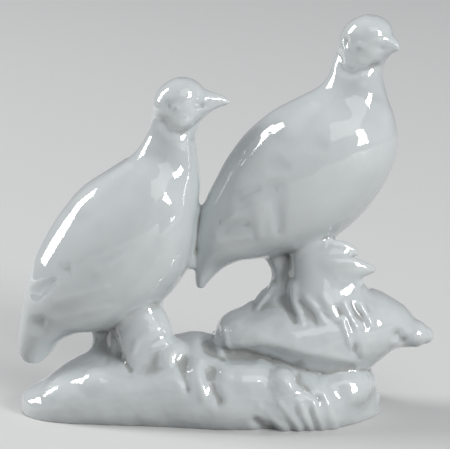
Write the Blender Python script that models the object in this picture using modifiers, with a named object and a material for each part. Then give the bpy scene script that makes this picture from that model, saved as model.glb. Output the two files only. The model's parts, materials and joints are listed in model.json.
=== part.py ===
"""A pair of partridges on a rock, cast in one piece of glazed porcelain.

Every form is a closed loft or ball. They are run together by a voxel remesh, as the glaze runs
the real casting together, then the foot is ground flat, hollowed a little and vented.
+X is the way the birds look, -Y is the front, +Z is up. The origin is under the middle of the
figure, on the surface that it stands on.
"""

import math

import bmesh
import bpy
import numpy as np
from mathutils import Matrix, Vector

MM = 0.001  # the sizes below are in millimetres

# Casting
SKIN_VOXEL = 0.8
GLAZE_SOFTENING = 3
GLAZE_FILLET = 2.6  # reach of the glaze that fills a crease
FACET_COUNT = 11300
LOFT_SIDES = 28
LOFT_STEPS = 3

# Foot
FOOT_RIM_WIDTH = 5.0
FOOT_RECESS_DEPTH = 1.8
RIM_MERGE = 0.08
VENT_RADIUS = 2.6
VENT_DEPTH = 9.0
VENT_PLACE = (-14.0, 0.0)

# Heads, in a frame that looks along +X with its origin between the eyes
HEAD_RIBS = [
    # back x, back z, front x, front z, half width
    (-9.6, -9.5, 6.6, -11.0, 7.6),
    (-9.7, -5.5, 8.0, -7.6, 8.1),
    (-9.4, -1.5, 9.6, -3.6, 8.4),
    (-8.3, 2.4, 10.0, 1.6, 8.3),
    (-6.2, 5.7, 9.2, 5.6, 7.3),
    (-3.0, 8.1, 6.6, 8.0, 5.2),
    (-0.4, 9.3, 4.0, 9.1, 2.2),
]
CHEEK_CENTRE = (0.8, -5.0)
CHEEK_RADII = (7.2, 8.8, 8.2)
EYE_RADIUS = 2.2
EYE_PROUD = 0.8
NECK_RIB = (-9.4, -2.6, 6.1, -6.2, 7.9)  # the neck's last rib, from the head's centre
BEAK_ROOT = 7.6
BEAK_RIBS = [
    # share of the beak's length from its root, top z, bottom z, half width
    (-0.25, 7.0, -9.2, 5.6),
    (0.0, 6.6, -7.8, 5.0),
    (0.22, 4.7, -5.4, 3.9),
    (0.44, 3.5, -3.5, 3.1),
    (0.68, 2.5, -2.1, 2.1),
    (0.87, 1.4, -1.5, 1.4),
    (1.0, 0.1, -1.1, 0.7),
]

BODY_EGG = 0.06  # how much fuller a body's section is at the breast than at the back

# Left bird
LEFT_HEAD_CENTRE = (-17.3, 117.4)
LEFT_HEAD_SCALE = 1.0
LEFT_HEAD_TURN = 0.0
LEFT_HEAD_NOD = -2.0
LEFT_BEAK_LENGTH = 11.6
LEFT_EYE_FORWARD = -0.2
LEFT_BIRD_Y = 0.0
LEFT_RIBS = [
    # back x, back z, breast x, breast z, half width
    (-75.6, 19.2, -69.2, 18.4, 3.4),
    (-77.4, 23.0, -64.8, 22.6, 5.6),
    (-77.2, 29.6, -61.0, 27.4, 8.4),
    (-75.9, 39.4, -54.0, 30.6, 11.6),
    (-74.2, 48.4, -46.0, 31.4, 14.6),
    (-71.0, 58.4, -37.4, 34.0, 17.6),
    (-66.0, 68.2, -28.4, 39.0, 19.6),
    (-60.0, 77.4, -20.2, 45.6, 20.6),
    (-52.4, 85.4, -14.2, 54.0, 20.2),
    (-43.0, 91.6, -11.4, 64.6, 18.6),
    (-35.4, 96.8, -10.0, 77.0, 16.0),
    (-31.2, 101.2, -9.0, 88.0, 13.0),
    (-28.6, 106.0, -9.9, 97.0, 10.4),
    (-27.4, 110.8, -10.9, 104.6, 8.5),
]

# Right bird
RIGHT_HEAD_CENTRE = (50.8, 140.0)
RIGHT_HEAD_SCALE = 1.05
RIGHT_HEAD_TURN = 32.0
RIGHT_HEAD_NOD = 5.0
RIGHT_BEAK_LENGTH = 6.4
RIGHT_EYE_FORWARD = 2.4
RIGHT_BIRD_Y = 2.0
RIGHT_RIBS = [
    (-10.6, 47.0, -7.8, 46.8, 2.2),
    (-11.2, 51.2, -4.6, 50.8, 4.0),
    (-11.0, 56.4, 0.4, 55.2, 6.4),
    (-10.8, 62.0, 7.2, 58.2, 9.6),
    (-10.4, 68.6, 15.0, 59.2, 12.6),
    (-9.0, 75.6, 23.4, 61.4, 15.4),
    (-6.6, 82.2, 32.4, 63.4, 17.8),
    (-3.2, 88.8, 40.4, 66.8, 19.6),
    (0.6, 96.0, 47.8, 72.4, 20.8),
    (7.0, 104.8, 55.2, 81.0, 21.0),
    (16.2, 112.9, 60.8, 90.8, 19.8),
    (26.0, 118.4, 63.6, 101.0, 17.2),
    (33.0, 122.0, 62.8, 109.8, 14.2),
    (36.7, 125.6, 59.8, 118.4, 11.6),
    (38.9, 130.4, 57.8, 126.4, 9.8),
]

# Legs and the tufts they stand in: x, y, z, half size along X, half size along Y
LEFT_FAR_LEG = [
    (-45.2, 4.0, 38.0, 7.2, 6.5),
    (-44.4, 4.0, 30.0, 5.8, 5.4),
    (-44.2, 3.0, 24.0, 5.8, 6.2),
    (-45.0, 1.0, 17.0, 8.4, 9.0),
]
LEFT_NEAR_TUFT = [
    (-34.0, -4.0, 46.0, 8.4, 8.0),
    (-31.4, -6.8, 38.5, 9.0, 8.0),
    (-29.7, -9.4, 33.0, 10.3, 7.4),
    (-29.4, -11.4, 28.6, 9.8, 6.6),
    (-29.8, -13.2, 24.4, 8.4, 5.8),
    (-30.2, -14.8, 20.4, 6.6, 5.0),
    (-30.4, -16.2, 16.4, 4.6, 4.2),
]
RIGHT_FAR_LEG = [
    (18.0, 4.0, 66.0, 8.5, 8.0),
    (20.2, 3.0, 60.0, 5.8, 7.0),
    (22.6, 2.0, 53.0, 5.2, 7.0),
    (22.6, 1.0, 46.0, 7.0, 9.6),
    (21.0, 0.0, 38.0, 11.0, 13.0),
]
RIGHT_NEAR_TUFT = [
    (31.6, -2.0, 70.0, 7.0, 8.6),
    (33.0, -4.4, 61.0, 9.0, 8.2),
    (35.0, -6.8, 54.0, 11.2, 8.6),
    (36.4, -9.0, 46.0, 14.0, 9.6),
    (38.0, -10.6, 38.0, 17.4, 10.2),
    (38.6, -11.6, 31.0, 19.4, 9.8),
]

# Where the right bird's tail is luted to the left bird's back
TAIL_SEAM = [
    (-10.4, 1.0, 78.0, 1.4, 2.4),
    (-11.0, 1.0, 70.0, 1.7, 3.0),
    (-11.6, 1.0, 62.0, 1.9, 3.0),
    (-12.2, 0.6, 56.0, 1.9, 2.4),
]

# Lower base, as ribs along X: x, front y, back y, top z, squareness
BASE_FLOOR = -6.0
BASE_RIBS = [
    (-76.4, -3.6, 3.0, 5.6, 2.0),
    (-74.4, -8.6, 7.0, 7.6, 2.2),
    (-68.0, -14.8, 12.0, 11.6, 2.3),
    (-58.0, -19.2, 16.5, 18.4, 2.3),
    (-48.0, -21.6, 19.5, 22.8, 2.3),
    (-36.0, -23.6, 21.0, 24.8, 2.3),
    (-24.0, -25.2, 22.0, 27.4, 2.3),
    (-12.0, -28.0, 22.5, 28.6, 2.3),
    (0.0, -29.4, 23.0, 28.0, 2.4),
    (14.0, -29.0, 23.5, 26.4, 2.4),
    (28.0, -29.4, 23.5, 22.6, 2.4),
    (40.0, -26.0, 22.0, 20.8, 2.4),
    (50.0, -17.4, 16.5, 18.6, 2.3),
    (55.2, -10.4, 10.0, 12.4, 2.1),
    (58.2, -4.0, 4.0, 6.6, 2.0),
]

# Upper rock, as ribs along X: x, middle y, bottom z, top z, half depth
ROCK_RIBS = [
    (-3.4, -5.0, 28.0, 33.4, 6.0),
    (-1.0, -5.0, 26.4, 37.0, 11.0),
    (4.0, -4.8, 25.6, 39.6, 14.8),
    (12.0, -4.6, 25.0, 41.4, 17.6),
    (22.0, -4.4, 21.4, 43.4, 19.6),
    (34.0, -4.0, 16.4, 46.0, 20.4),
    (46.0, -3.0, 15.0, 48.0, 19.0),
    (55.0, -2.0, 18.6, 47.0, 16.2),
    (62.0, -1.5, 24.0, 43.6, 13.0),
    (67.0, -1.0, 26.0, 40.4, 9.6),
    (70.8, -1.0, 28.0, 36.0, 5.4),
]
ROCK_SQUARENESS = 2.1
ROCK_STUB = [
    (62.0, -1.0, 31.0, 7.0, 7.0),
    (68.0, -1.5, 30.4, 5.6, 6.0),
    (72.4, -1.5, 29.8, 4.9, 5.6),
    (74.6, -1.5, 29.4, 3.4, 4.0),
]

# Lumps in the rock and base: x, y, z, radius along X, along Y, along Z, turn about Y in degrees
LUMPS = [
    (-60.0, -8.0, 9.6, 11.0, 9.0, 6.0, -28.0),
    (-47.0, -13.0, 14.0, 9.0, 8.0, 7.0, -20.0),
    (-37.0, -12.0, 15.0, 7.0, 9.0, 8.0, 0.0),
    (-20.0, -11.4, 22.0, 9.0, 9.6, 9.2, 0.0),
    (-9.6, -16.6, 15.6, 6.0, 9.0, 11.0, 8.0),
    (-10.0, -2.0, 23.0, 9.0, 12.0, 7.4, 0.0),
    (6.0, -17.4, 17.6, 18.0, 11.0, 8.0, 3.0),
    (21.6, -20.4, 15.6, 9.0, 8.6, 7.0, 30.0),
    (42.0, -13.0, 12.0, 13.0, 10.6, 9.6, -10.0),
    (50.6, -6.0, 12.0, 6.0, 9.0, 6.6, 20.0),
    (44.0, -6.0, 45.0, 11.0, 10.0, 9.0, 34.0),
    (56.0, -5.0, 37.4, 12.0, 9.6, 7.4, 36.0),
    (44.0, -11.0, 35.0, 13.0, 9.0, 9.6, 24.0),
    (62.0, -4.0, 32.4, 8.0, 8.0, 6.6, 20.0),
    (51.0, -12.0, 37.0, 7.6, 6.4, 5.6, 40.0),
    (58.6, -9.4, 31.4, 7.6, 6.0, 5.2, -14.0),
    (20.0, -12.6, 33.0, 13.0, 10.4, 6.6, 8.0),
    (33.0, -14.4, 30.4, 12.0, 9.0, 6.4, 14.0),
    (8.0, -10.0, 34.4, 10.0, 9.0, 5.6, -8.0),
    (36.0, 10.0, 38.0, 15.0, 8.0, 10.0, 20.0),
    (12.0, 12.0, 26.0, 16.0, 9.0, 8.0, 0.0),
    (-38.6, -2.0, 27.0, 5.0, 8.0, 9.0, 0.0),
    (-34.0, 10.0, 20.0, 12.0, 9.0, 5.6, 0.0),
]

# Leaves of the twig, each a flattened loft: x, y, z, half height, half thickness
LEAVES = [
    [
        (28.0, -5.0, 61.6, 4.8, 3.4),
        (35.0, -8.6, 63.8, 4.8, 2.6),
        (42.0, -9.8, 64.6, 3.6, 2.0),
        (47.8, -9.0, 63.2, 2.0, 1.4),
    ],
    [
        (31.0, -8.6, 55.0, 6.8, 3.8),
        (38.0, -12.0, 56.6, 6.6, 3.0),
        (46.0, -12.6, 57.8, 4.8, 2.3),
        (54.2, -10.8, 57.2, 1.6, 1.4),
    ],
    [
        (32.0, -10.0, 48.0, 4.8, 4.0),
        (38.0, -13.4, 48.0, 4.4, 3.0),
        (44.0, -13.6, 49.6, 3.4, 2.4),
        (49.6, -11.6, 52.6, 1.8, 1.4),
    ],
]

# Marks of the modelling tool, raised (+) or pressed in (-): radius, height, points of the stroke.
# All but the heads' are laid out as the front, or the back seen through it, looks from
# VIEW_TILT degrees above.
VIEW_TILT = 14.0
GROUND_STROKES = [
    # ridges and creases of the tuft under the left bird
    (2.6, 0.65, [(-24.0, 31.3), (-32.2, 26.5), (-33.7, 22.1)]),
    (2.2, 0.58, [(-21.0, 26.5), (-27.0, 23.6)]),
    (3.4, -0.69, [(-40.4, 27.0), (-38.0, 21.0), (-35.0, 16.0)]),
    # folds down the front of the base
    (4.2, -1., [(-15.9, 19.6), (-14.8, 13.6), (-13.7, 8.8)]),
    (4.0, 0.8, [(-10.7, 24.7), (-9.6, 14.7), (-8.1, 6.2)]),
    (5.4, -1.3, [(-5.0, 15.4), (-3.8, 8.8), (-2.0, 5.0)]),
    (3.8, -0.92, [(-7.4, 24.7), (-1.1, 20.6)]),
    # the leaf-like bump, and the grass at the foot
    (4.6, 0.8, [(21.0, 14.4), (22.4, 12.2), (24.0, 10.0)]),
    (3.0, -0.8, [(27.0, 13.0), (31.0, 9.0), (34.6, 5.4)]),
    (4.8, -2.8, [(15.4, -6.6), (11.4, -2.4)]),
    (2.6, 0.91, [(22.0, -6.0), (17.0, -2.0), (12.4, 2.4)]),
    (2.6, 1.04, [(27.0, -6.0), (22.6, -1.0), (19.6, 4.4)]),
    (2.2, 1.01, [(31.0, -5.7), (28.4, -0.6), (27.0, 4.4)]),
    (2.2, 1.01, [(35.6, -5.7), (33.4, -0.4), (32.0, 4.4)]),
    (2.4, 0.91, [(40.0, -5.7), (38.4, 2.0), (36.0, 8.0)]),
    (2.0, -1.01, [(18.6, -5.7), (14.0, 0.4)]),
    (2.0, -1.16, [(24.8, -5.7), (20.4, 1.0)]),
    (2.0, -1.16, [(29.4, -5.7), (25.6, 2.0)]),
    (1.8, -1.01, [(33.4, -5.7), (30.6, 2.0)]),
    # toes of the right bird's near leg
    (2.4, 0.91, [(25.0, 47.0), (25.0, 41.3), (28.4, 33.5)]),
    (2.2, 0.8, [(29.6, 42.4), (33.0, 39.0), (36.4, 33.6)]),
    (2.2, 0.65, [(36.0, 43.0), (38.6, 38.6), (41.4, 34.6)]),
    (2.6, -0.91, [(22.0, 41.6), (24.0, 37.0), (25.4, 34.0)]),
    (2.4, -0.78, [(28.2, 41.0), (31.4, 36.6), (33.4, 33.0)]),
    # blades down the face of the rock
    (1.8, 1.01, [(43.4, 41.0), (45.6, 36.6), (48.0, 31.6)]),
    (1.8, 0.87, [(49.6, 40.4), (51.4, 37.0), (53.6, 33.0)]),
    (2.0, 1.16, [(42.9, 34.4), (44.4, 29.5), (46.0, 24.6)]),
    (1.9, -0.87, [(46.6, 40.0), (49.6, 36.0), (51.4, 31.6)]),
    (2.0, -0.87, [(40.6, 38.0), (42.4, 33.4)]),
    (2.6, -1.3, [(47.6, 24.4), (49.4, 20.0)]),
    # the rock's lower lip, and the shade between the rock and its stub
    (3.6, 0.46, [(2.6, 25.4), (12.0, 27.4), (21.5, 25.6), (33.0, 22.8), (46.0, 19.6)]),
    (3.8, -1.03, [(64.0, 29.0), (66.4, 26.4)]),
    # bark at the rock's left end, and the rib along the window
    (1.8, 0.7, [(-4.1, 30.2), (-3.0, 24.7), (-1.1, 22.1)]),
    (1.8, 0.7, [(-0.6, 31.0), (0.6, 27.3), (2.0, 23.6)]),
    (1.8, -0.7, [(-2.4, 30.6), (-1.2, 26.0), (0.6, 22.8)]),
    (1.8, 0.93, [(17.6, 46.1), (14.8, 42.0), (11.8, 38.0)]),
]
BACK_STROKES = [
    # plain folds on the back of the base and of the rock
    (4.4, -1., [(-52.0, 15.0), (-47.0, 8.0)]),
    (5.0, 0.7, [(-41.0, 20.0), (-36.0, 6.0)]),
    (4.6, -1.1, [(-29.0, 23.0), (-22.0, 7.0)]),
    (5.4, 0.8, [(-14.0, 25.0), (-8.0, 9.0)]),
    (5.2, -1.2, [(1.0, 22.0), (7.0, 8.0)]),
    (5.0, 0.7, [(19.0, 17.0), (24.0, 3.0)]),
    (4.4, -1., [(33.0, 15.0), (37.0, 2.0)]),
    (3.6, 0.92, [(9.0, 39.0), (13.0, 29.0)]),
    (3.8, -1.03, [(23.0, 43.0), (21.0, 29.0)]),
    (4.2, 0.8, [(36.0, 44.0), (33.0, 28.0)]),
    (3.8, -1.15, [(48.0, 44.0), (45.0, 28.0)]),
    (4.0, 0.8, [(58.0, 40.0), (54.0, 28.0)]),
]
FLANK_STROKES = [
    # left bird: folded wing, dimples between its feathers, and the long feathers
    (16.2, 0.36, [(-27.8, 82.0), (-42.6, 69.1), (-55.5, 54.3), (-65.5, 39.5)]),
    (5.5, -0.24, [(-22.2, 72.8), (-25.0, 61.7), (-33.3, 50.6), (-39.2, 42.0), (-51.8, 36.0)]),
    (4.2, -0.42, [(-57.4, 53.0), (-56.6, 54.0)]),
    (3.5, -0.41, [(-69.2, 44.3), (-62.5, 48.7)]),
    (4.8, -0.54, [(-68.6, 32.6), (-67.4, 33.8)]),
    (2.8, 0.31, [(-46.0, 52.4), (-37.0, 58.4)]),
    (2.8, 0.31, [(-61.0, 41.3), (-42.6, 46.9)]),
    (2.8, 0.31, [(-63.0, 34.6), (-42.6, 39.2)]),
    # right bird: the same, and the fold behind its breast
    (17.5, 0.36, [(38.9, 104.2), (24.1, 91.3), (9.3, 76.5), (-1.1, 61.7)]),
    (4.2, 0.42, [(12.2, 76.5), (12.6, 65.4)]),
    (5.2, -0.54, [(18.5, 82.0), (19.6, 67.2)]),
    (5.5, -0.3, [(33.0, 98.6), (35.0, 97.4)]),
    (5.2, -0.36, [(19.0, 90.6), (22.0, 89.6)]),
    (4, -0.41, [(6.3, 78.4), (12.0, 82.0)]),
    (5.8, -0.48, [(1.5, 67.0), (7.4, 69.0)]),
    (2.8, 0.31, [(-3.0, 66.0), (4.0, 73.6)]),
    (2.5, 0.31, [(-4.8, 62.4), (9.2, 65.0)]),
    (3.8, -0.28, [(27.8, 63.5), (38.9, 66.5), (44.4, 70.2)]),
]
# Head strokes lie in the head's own frame, on each cheek
HEAD_STROKES = [
    (2.1, -0.6, [(-5.2, -5.5), (-3.1, -9.1), (1.3, -9.9), (5.7, -7.9), (7.6, -6.5)]),
    (2, -0.75, [(-3.2, 0.8), (-2.8, -0.8)]),
    (1.6, 0.43, [(-2.6, 3.2), (0.6, 3.8), (3.6, 3.0)]),
    (2.5, -0.59, [(7.4, 0.2), (9.6, -0.4)]),
    (1.5, -0.55, [(10.0, -0.5), (13.6, -0.3), (16.4, -0.1)]),
]
STROKE_TURN_IN = 0.5
STROKE_SOFTNESS = 1.1  # how far the edges of a stroke are softened
STROKE_TAPER = 0.5  # how much narrower a stroke is at its end than at its start


def clear_scene():
    """Remove every object of the open file."""
    for thing in list(bpy.data.objects):
        bpy.data.objects.remove(thing)


def smooth_rows(rows, steps):
    """Rows read from a smooth curve through the given rows, with steps between each pair."""
    result = []
    last = len(rows) - 1
    for i in range(last):
        p0 = rows[max(i - 1, 0)]
        p1 = rows[i]
        p2 = rows[i + 1]
        p3 = rows[min(i + 2, last)]
        for step in range(steps):
            t = step / steps
            row = []
            for a, b, c, d in zip(p0, p1, p2, p3):
                bend = (2 * a - 5 * b + 4 * c - d) * t * t + (3 * b - a - 3 * c + d) * t ** 3
                row.append(0.5 * (2 * b + (c - a) * t + bend))
            result.append(tuple(row))
    result.append(tuple(rows[-1]))
    return result


def ring(form, place, squareness=2.0, egg=0.0):
    """One closed ring of edges: a unit circle, squared or egg shaped, put in place by a matrix."""
    verts = bmesh.ops.create_circle(form, segments=LOFT_SIDES, radius=1.0)["verts"]
    for vert in verts:
        angle = math.atan2(vert.co.y, vert.co.x)
        x = math.copysign(abs(math.cos(angle)) ** (2 / squareness), math.cos(angle))
        y = math.copysign(abs(math.sin(angle)) ** (2 / squareness), math.sin(angle))
        vert.co = place @ Vector((x, y * (1 + egg * x), 0.0))
    return list({edge for vert in verts for edge in vert.link_edges})


def skin_rings(form, rings):
    """Bridge each ring to the next and close the two ends."""
    for lower, upper in zip(rings, rings[1:]):
        bmesh.ops.bridge_loops(form, edges=lower + upper)
    for end in (rings[0], rings[-1]):
        bmesh.ops.contextual_create(form, geom=end)
    bmesh.ops.recalc_face_normals(form, faces=form.faces[:])


def add_form(bm, form):
    """Add a finished form to the figure's mesh."""
    mesh = bpy.data.meshes.new("form")
    form.to_mesh(mesh)
    form.free()
    bm.from_mesh(mesh)
    bpy.data.meshes.remove(mesh)


def matrix_from(centre, first, second):
    """A matrix whose first two columns are the given half axes, at the given centre."""
    normal = first.cross(second).normalized()
    columns = Matrix((first, second, normal)).transposed().to_4x4()
    return Matrix.Translation(centre) @ columns


def rib_loft(bm, ribs, y, frame=Matrix(), squareness=2.0, egg=0.0):
    """A loft through ribs that each reach from one point to another in the profile plane."""
    form = bmesh.new()
    rings = []
    for back_x, back_z, front_x, front_z, half_width in smooth_rows(ribs, LOFT_STEPS):
        back = Vector((back_x, y, back_z))
        front = Vector((front_x, y, front_z))
        across = Vector((0.0, half_width, 0.0))
        place = frame @ matrix_from((back + front) / 2, (front - back) / 2, across)
        rings.append(ring(form, place, squareness, egg))
    skin_rings(form, rings)
    add_form(bm, form)


def path_loft(bm, stations):
    """A loft along a path: x, y, z, half size in the profile plane, half size along Y."""
    rows = smooth_rows([row if len(row) == 5 else (*row, row[3]) for row in stations], LOFT_STEPS)
    points = [Vector(row[:3]) for row in rows]
    form = bmesh.new()
    rings = []
    for i, (_, _, _, in_profile, along_y) in enumerate(rows):
        along = points[min(i + 1, len(points) - 1)] - points[max(i - 1, 0)]
        side = along.cross(Vector((0.0, 1.0, 0.0))).normalized()
        depth = side.cross(along).normalized()
        rings.append(ring(form, matrix_from(points[i], side * in_profile, depth * along_y)))
    skin_rings(form, rings)
    add_form(bm, form)
    for x, y, z, in_profile, along_y in (rows[0], rows[-1]):
        radius = min(in_profile, along_y)
        ball(bm, (x, y, z), (radius, radius, radius))


def ball(bm, centre, radii, turn=0.0, frame=Matrix()):
    """A ball with a radius along each axis, turned about Y."""
    stretch = Matrix.Diagonal((*radii, 1.0))
    place = Matrix.Translation(centre) @ Matrix.Rotation(math.radians(turn), 4, "Y") @ stretch
    form = bmesh.new()
    bmesh.ops.create_uvsphere(form, u_segments=20, v_segments=12, radius=1.0, matrix=frame @ place)
    add_form(bm, form)


def head_frame(centre, y, scale, turn, nod):
    """The frame of a head, turned about the upright through its centre and nodded forward."""
    frame = Matrix.Translation((centre[0], y, centre[1]))
    frame @= Matrix.Rotation(math.radians(-turn), 4, "Z")
    return frame @ Matrix.Rotation(math.radians(nod), 4, "Y") @ Matrix.Scale(scale, 4)


def head(bm, frame, beak_length, eye_forward):
    """Head, cheeks, eyes and beak."""
    rib_loft(bm, HEAD_RIBS, 0.0, frame)
    ball(bm, (CHEEK_CENTRE[0], 0.0, CHEEK_CENTRE[1]), CHEEK_RADII, frame=frame)
    beak = []
    for share, top, bottom, half_width in BEAK_RIBS:
        x = BEAK_ROOT + share * beak_length
        beak.append((x, top, x, bottom, half_width))
    rib_loft(bm, beak, 0.0, frame)
    for side in (-1.0, 1.0):
        eye_y = side * (HEAD_RIBS[2][4] + EYE_PROUD - EYE_RADIUS)
        ball(bm, (eye_forward, eye_y, 0.0), (EYE_RADIUS, EYE_RADIUS, EYE_RADIUS), frame=frame)


def bird(bm, ribs, y, centre, scale, frame, beak_length, eye_forward):
    """One partridge: body and neck, which runs up into the head, and the head."""
    back_x, back_z, front_x, front_z, half_width = [scale * size for size in NECK_RIB]
    x, z = centre
    neck = (x + back_x, z + back_z, x + front_x, z + front_z, half_width)
    rib_loft(bm, [*ribs, neck], y, egg=BODY_EGG)
    head(bm, frame, beak_length, eye_forward)


def lower_base(bm):
    """The low ground under both birds, a loft along X with squared sections."""
    form = bmesh.new()
    rings = []
    for x, front, back, top, squareness in smooth_rows(BASE_RIBS, LOFT_STEPS):
        centre = Vector((x, (front + back) / 2, (top + BASE_FLOOR) / 2))
        across = Vector((0.0, (back - front) / 2, 0.0))
        up = Vector((0.0, 0.0, (top - BASE_FLOOR) / 2))
        rings.append(ring(form, matrix_from(centre, across, up), squareness))
    skin_rings(form, rings)
    add_form(bm, form)


def upper_rock(bm):
    """The rock under the right bird and the broken stub at its right end."""
    form = bmesh.new()
    rings = []
    for x, y, bottom, top, half_depth in smooth_rows(ROCK_RIBS, LOFT_STEPS):
        across = Vector((0.0, half_depth, 0.0))
        up = Vector((0.0, 0.0, (top - bottom) / 2))
        place = matrix_from(Vector((x, y, (top + bottom) / 2)), across, up)
        rings.append(ring(form, place, ROCK_SQUARENESS))
    skin_rings(form, rings)
    add_form(bm, form)
    path_loft(bm, ROCK_STUB)


def ground_detail(bm):
    """Lumps of the ground and the leaves of the twig."""
    for x, y, z, along_x, along_y, along_z, turn in LUMPS:
        ball(bm, (x, y, z), (along_x, along_y, along_z), turn)
    for stations in LEAVES:
        path_loft(bm, stations)


def legs(bm):
    """The four legs, each lost in the tuft that it stands in, and the seam under the tail."""
    for stations in (LEFT_FAR_LEG, LEFT_NEAR_TUFT, RIGHT_FAR_LEG, RIGHT_NEAR_TUFT, TAIL_SEAM):
        path_loft(bm, stations)


def new_object(name, bm, collection):
    """Put a bmesh in a named object, in metres."""
    bmesh.ops.transform(bm, matrix=Matrix.Scale(MM, 4), verts=bm.verts)
    mesh = bpy.data.meshes.new(name)
    bm.to_mesh(mesh)
    bm.free()
    thing = bpy.data.objects.new(name, mesh)
    collection.objects.link(thing)
    return thing


def new_collection(name):
    """A collection linked to the scene."""
    collection = bpy.data.collections.new(name)
    bpy.context.scene.collection.children.link(collection)
    return collection


def apply_modifiers(thing):
    """Replace an object's mesh by its evaluated mesh and drop its modifiers."""
    evaluated = thing.evaluated_get(bpy.context.evaluated_depsgraph_get())
    mesh = bpy.data.meshes.new_from_object(evaluated)
    thing.modifiers.clear()
    thing.data = mesh


def read_skin(thing):
    """A skin's points in millimetres, and its normals."""
    count = len(thing.data.vertices)
    places = np.empty(count * 3)
    normals = np.empty(count * 3)
    thing.data.vertices.foreach_get("co", places)
    thing.data.vertices.foreach_get("normal", normals)
    return places.reshape(-1, 3) / MM, normals.reshape(-1, 3)


def write_skin(thing, places):
    """Put a skin's points, given in millimetres, back."""
    thing.data.vertices.foreach_set("co", (places * MM).ravel())
    thing.data.update()


def neighbour_mean(values, edges, counts):
    """The mean of each point's neighbours along the edges, for each column of values."""
    mean = np.empty_like(values)
    for column in range(values.shape[1]):
        forward = np.bincount(edges[:, 0], values[edges[:, 1], column], len(values))
        backward = np.bincount(edges[:, 1], values[edges[:, 0], column], len(values))
        mean[:, column] = (forward + backward) / counts
    return mean


def skin_edges(thing):
    """A skin's edges as pairs of points, and how many edges each point has."""
    edges = np.empty(len(thing.data.edges) * 2, dtype=np.int32)
    thing.data.edges.foreach_get("vertices", edges)
    counts = np.bincount(edges, minlength=len(thing.data.vertices))
    return edges.reshape(-1, 2), counts


def fill_creases(thing, voxel, fillet):
    """Fill the creases with glaze: points that lie below their surroundings rise to them."""
    edges, counts = skin_edges(thing)
    for _ in range(math.ceil((fillet / voxel) ** 2 / 4)):
        places, normals = read_skin(thing)
        for _ in range(8):
            rise = ((neighbour_mean(places, edges, counts) - places) * normals).sum(axis=1)
            places += np.clip(rise, 0.0, None)[:, None] * normals
        write_skin(thing, places)


def distance_to_path(points, path):
    """Distance from each of many plane points to a path, as if the path narrowed along its way."""
    nearest = np.full(len(points), np.inf)
    for i, (start, end) in enumerate(zip(path, path[1:])):
        start = np.array(start)
        run = np.array(end) - start
        share = np.clip((points - start) @ run / (run @ run), 0.0, 1.0)
        away = points - start - share[:, None] * run
        width = 1.0 - STROKE_TAPER * (i + share) / (len(path) - 1)
        nearest = np.minimum(nearest, np.hypot(away[:, 0], away[:, 1]) / width)
    return nearest


def stroke_lift(places, normals, strokes, frame, reach=math.inf):
    """How far strokes in the XZ plane of a frame lift each point that faces -Y there."""
    inward = np.array(frame.inverted())
    seen = places @ inward[:3, :3].T + inward[:3, 3]
    facing = -(normals @ inward[:3, :3].T)[:, 1]
    facing = np.clip(facing / STROKE_TURN_IN, 0.0, 1.0) * (np.abs(seen).max(axis=1) < reach)
    lift = np.zeros(len(places))
    for radius, height, path in strokes:
        share = np.clip(1.0 - (distance_to_path(seen[:, (0, 2)], path) / radius) ** 2, 0.0, 1.0)
        lift += height * facing * share ** 2
    return lift


def model_relief(thing, head_frames, voxel):
    """All strokes: the ground's on its front and back, the flanks' and cheeks' on both sides."""
    front = Matrix.Rotation(math.radians(-VIEW_TILT), 4, "X")
    mirror = Matrix.Diagonal((1.0, -1.0, 1.0, 1.0))
    reach = 2.4 * HEAD_RIBS[2][4]
    edges, counts = skin_edges(thing)
    places, normals = read_skin(thing)
    lift = stroke_lift(places, normals, GROUND_STROKES + FLANK_STROKES, front)
    lift += stroke_lift(places, normals, BACK_STROKES + FLANK_STROKES, mirror @ front)
    for frame in head_frames:
        lift += stroke_lift(places, normals, HEAD_STROKES, frame, reach)
        lift += stroke_lift(places, normals, HEAD_STROKES, frame @ mirror, reach)
    moves = lift[:, None] * normals
    for _ in range(math.ceil((STROKE_SOFTNESS / voxel) ** 2)):
        moves = 0.5 * moves + 0.5 * neighbour_mean(moves, edges, counts)
    write_skin(thing, places + moves)


def run_together(thing):
    """Fuse the overlapping forms into one skin and soften it as glaze does."""
    remesh = thing.modifiers.new("skin", "REMESH")
    remesh.mode = "VOXEL"
    remesh.voxel_size = SKIN_VOXEL * MM
    soften = thing.modifiers.new("glaze", "SMOOTH")
    soften.factor = 0.5
    soften.iterations = GLAZE_SOFTENING
    apply_modifiers(thing)


def thin_facets(thing):
    """Bring the skin down to the wanted number of facets."""
    faces = sum(len(face.vertices) - 2 for face in thing.data.polygons)
    thin = thing.modifiers.new("facets", "DECIMATE")
    thin.ratio = FACET_COUNT / faces
    apply_modifiers(thing)


def grind_foot(thing):
    """Cut the underside flat at the surface that the figure stands on."""
    bm = bmesh.new()
    bm.from_mesh(thing.data)
    everything = bm.verts[:] + bm.edges[:] + bm.faces[:]
    bmesh.ops.bisect_plane(
        bm, geom=everything, plane_co=(0, 0, 0), plane_no=(0, 0, 1), clear_inner=True
    )
    rim = [vert for vert in bm.verts if vert.is_boundary]
    for vert in rim:
        vert.co.z = 0.0
    bmesh.ops.remove_doubles(bm, verts=rim, dist=RIM_MERGE * MM)
    bmesh.ops.contextual_create(bm, geom=[edge for edge in bm.edges if edge.is_boundary])
    bm.to_mesh(thing.data)
    bm.free()


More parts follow.
